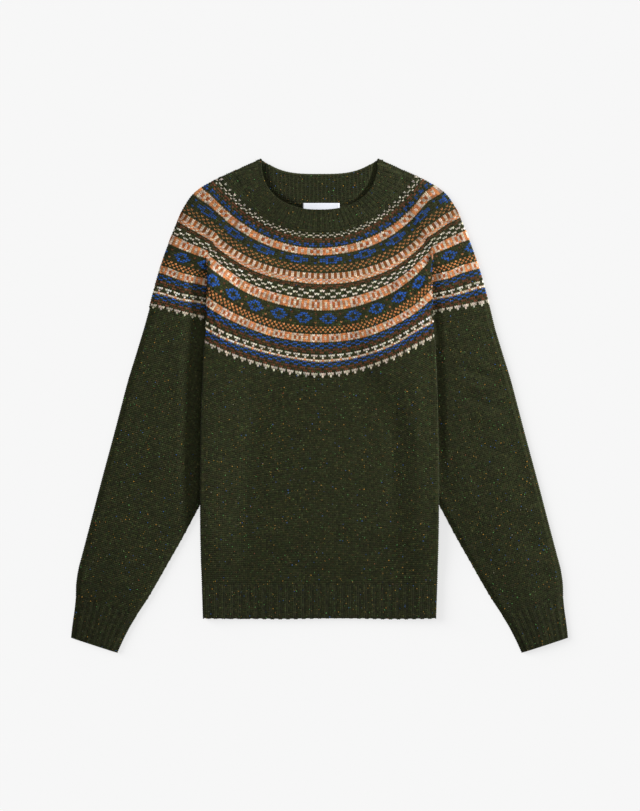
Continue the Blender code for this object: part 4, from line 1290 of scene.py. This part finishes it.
def neck_place(depth, t, side):
    """Half a row of the band: t 0 to 1 over the front, to 2 round the shoulder, to 3 behind."""
    shoulder = np.array([1.0])
    outer = neck_point(shoulder, depth, False)[0]
    inward = edge_inward(neck_point(shoulder, 1.0, False)[0] - neck_point(shoulder, 0.0, False)[0])

    def beside(t, back):
        near = soft_step((t - BAND_ROUND[0]) / (1.0 - BAND_ROUND[0]))
        return neck_point(t, depth, back) + inward * (EDGE_RADIUS * near)[:, None]

    t = np.asarray(t, float)
    front, rear = t <= 1.0, t >= 2.0
    points = np.zeros((len(t), 3))
    if front.any():
        plan = beside(t[front], False)
        from_edge = np.maximum(np.linalg.norm(plan - outer, axis=1) - EDGE_RADIUS, 0.0)
        tall = LOFT + neck_rise(depth, t[front])
        tall = mix(2 * EDGE_RADIUS, tall, soft_step(from_edge / BAND_ROUND[1]))
        points[front] = np.column_stack([plan, tall])
    edge = ~front & ~rear
    points[edge] = edge_arc(outer, inward, t[edge] - 1.0)
    if rear.any():
        plan = beside(3.0 - t[rear], True)
        points[rear] = np.column_stack([plan, back_neck_rise(*plan.T)])
    points[:, 0] *= side
    return points


grid = np.array([whole_ring(neck_place, depth, steps(80, 6, 60))
                 for depth in (NECK_LAP, *np.linspace(1, 0, 21))])
neck_cloth = ground_cloth("neck_rib", grid, green_wool, closed=True)
knits, purls = [], []
is_knit = np.arange(2 * NECK_RIBS) % 2 == 0
for row in range(NECK_ROWS):
    low, depth, high = ((row + d) / NECK_ROWS for d in (1.0, 0.5, 0.0))
    for side in (1, -1):
        t, across = even_spots(lambda t: neck_place(depth, t, side), steps(300, 300, 300),
                               2 * NECK_RIBS, side)
        along = neck_place(high, t, side) - neck_place(low, t, side)
        up = unit(np.cross(across, along))
        centres = neck_place(depth, t, side)
        for made, (out, wide), keep in ((knits, BAND_KNIT, is_knit), (purls, BAND_PURL, ~is_knit)):
            made.append(chosen([centres + up * out, across * wide, along], keep))
knits, purls = joined(knits), joined(purls)
top_centres.append(knits[0][knits[0][:, 2] > SEEN_FROM_ABOVE])
neck_knits = green_knit("neck_rib_knit", knits, 50, 14)
neck_purls = green_knit("neck_rib_purl", purls, 51, 15, loop=purl_loop)

places, is_knit = [], []
for k, x in enumerate(columns_of(INSIDE_HALF_COLUMNS, INSIDE_COLUMN)):
    top = np.interp(abs(x), *NECK_EDGE_BACK.T) - INSIDE_TOP_GAP
    foot = np.interp(abs(x), *NECK_EDGE.T) - INSIDE_LAP
    for row in range(int((top - INSIDE_FOOT) / INSIDE_ROW)):
        y = top - (row + 0.5) * INSIDE_ROW
        on_knit = y > LABEL_TOP and k % 2 == 0
        if y > foot:
            out = (INSIDE_KNIT if on_knit else INSIDE_PURL)[0]
            places.append((x, y, INSIDE_Z + float(back_neck_rise(x, y)) + out))
            is_knit.append(on_knit)
places, is_knit = np.array(places), np.array(is_knit)
across = np.tile((INSIDE_COLUMN, 0.0, 0.0), (len(places), 1))
along = np.tile((0.0, INSIDE_ROW, 0.0), (len(places), 1))
inside_knits = green_knit("neck_inside_knit",
                          chosen([places, across * INSIDE_KNIT[1], along], is_knit),
                          52, 16, INSIDE_PAINTED_SHADE_GREEN)
inside_purls = green_knit("neck_inside_purl",
                          chosen([places, across * INSIDE_PURL[1], along], ~is_knit),
                          53, 17, INSIDE_PAINTED_SHADE_GREEN, purl_loop)
top_centres.append(places[places[:, 1] > LABEL_TOP])
neck_parts = [neck_knits, neck_purls, inside_knits, inside_purls]
finish_pieces("green_wool", neck_cloth, *neck_parts)


# Label.  A blank white woven satin label, 54 by 26 mm, its top edge sewn down just below the
# neck band.

LABEL_WIDE, LABEL_LONG, LABEL_THICK = 54.0, 26.0, 0.8
LABEL_X, LABEL_Z = 2.6, 7.0
LABEL_RIPPLE = (0.25, 9.0)     # height and run
LABEL_RISE = (0.4, 20.0)       # rise towards its free edge, and the run to it
LABEL_WHITE = (0.74, 0.76, 0.82, 1.0)
label_satin, label_shader = plain_material("white label satin", LABEL_WHITE, 0.55, {})
tree = label_satin.node_tree
where = add_node(tree, "ShaderNodeTexCoord")
threads = add_node(tree, "ShaderNodeTexWave", {
    "Vector": where.outputs["Object"], "Scale": 900.0, "Distortion": 0.6}, bands_direction="X")
label_bump = add_node(tree, "ShaderNodeBump", {
    "Height": threads.outputs["Fac"], "Strength": 0.15, "Distance": 0.1 * MM})
tree.links.new(label_bump.outputs["Normal"], label_shader.inputs["Normal"])
xs = np.linspace(-LABEL_WIDE / 2, LABEL_WIDE / 2, 29)
ys = np.linspace(LABEL_TOP - LABEL_LONG, LABEL_TOP, 14)
gy, gx = np.meshgrid(ys, xs, indexing="ij")
gz = LABEL_Z + LABEL_RIPPLE[0] * np.cos(gx / LABEL_RIPPLE[1])
gz = gz + LABEL_RISE[0] * soft_step((LABEL_TOP - gy) / LABEL_RISE[1])
label = ground_cloth("neck_label", np.stack([gx + LABEL_X, gy, gz], -1), label_satin,
                     inset=0.0, thick=LABEL_THICK)
finish_pieces("label_satin", label)


# Neps.  Small tufts of ochre, green, blue and rust wool spun into the green yarn, so they are
# scattered all over the green knitting.

NEP_SHARE = 0.095              # share of the loops that carry one
NEP_HEIGHT = 1.6
NEP_SLACK = 0.3
NEP_SUNK = 0.5                 # how far its foot lies under the loops' crowns
NEP_SCATTER = 1.2
NEP_SIZES = (0.75, 2.0)
NEP_STRETCH = (0.6, 1.0)
NEP_COLOURS = np.array([
    (0.420, 0.200, 0.008), (0.260, 0.150, 0.010), (0.070, 0.260, 0.050), (0.090, 0.170, 0.035),
    (0.020, 0.100, 0.330), (0.230, 0.060, 0.010), (0.200, 0.190, 0.110)])
NEP_CHANCES = np.array([0.24, 0.16, 0.22, 0.10, 0.16, 0.08, 0.04])


def nep_ring(count, start, radius, height):
    turns = [(k + start) * 2 * math.pi / count for k in range(count)]
    return [(math.cos(turn) * radius, math.sin(turn) * radius, height) for turn in turns]


nep_shape = bpy.data.meshes.new("nep")
nep_points = nep_ring(6, 0, 0.5, 0.25) + nep_ring(3, 0.5, 0.25, 0.5) + [(0, 0, 0)]
nep_faces = [(6, 7, 8), (1, 6, 0), (1, 2, 6), (2, 7, 6), (2, 3, 7), (3, 4, 7), (4, 8, 7),
             (4, 5, 8), (5, 0, 8), (0, 6, 8)] + [((k + 1) % 6, k, 9) for k in range(6)]
nep_shape.from_pydata(nep_points, [], nep_faces)
nep_shape.polygons.foreach_set("use_smooth", [True] * len(nep_faces))
nep = put("nep", nep_shape)
random = np.random.default_rng(77)
places = np.concatenate(top_centres)
places = places[random.random(len(places)) < NEP_SHARE]
count = len(places)
places = places + random.uniform(-NEP_SCATTER, NEP_SCATTER, places.shape) * (1, 1, 0)
sizes = mix(*NEP_SIZES, random.random(count) ** 2)
turns = random.uniform(0, 2 * math.pi, count)
stretch = random.uniform(*NEP_STRETCH, count)
across = np.stack([np.cos(turns), np.sin(turns), np.zeros(count)], -1) * sizes[:, None]
along = np.stack([-np.sin(turns), np.cos(turns), np.zeros(count)], -1) * (sizes * stretch)[:, None]
picked = random.choice(len(NEP_COLOURS), count, p=NEP_CHANCES)
nep_wool = wool("nep wool", 0.4, 0.2)
neps = knit("neps", [places + (0, 0, CLOTH_INSET - NEP_SUNK), across, along],
            NEP_COLOURS[picked], nep_wool, nep, slack=NEP_SLACK, seed=18, depth=NEP_HEIGHT)
finish_pieces("green_wool", neps)

for shape in (knit_loop, purl_loop, full_loop, nep):
    bpy.data.objects.remove(shape)

low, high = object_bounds()
{"cad": [list(cad_low), list(cad_high)], "visual": [list(low), list(high)]}
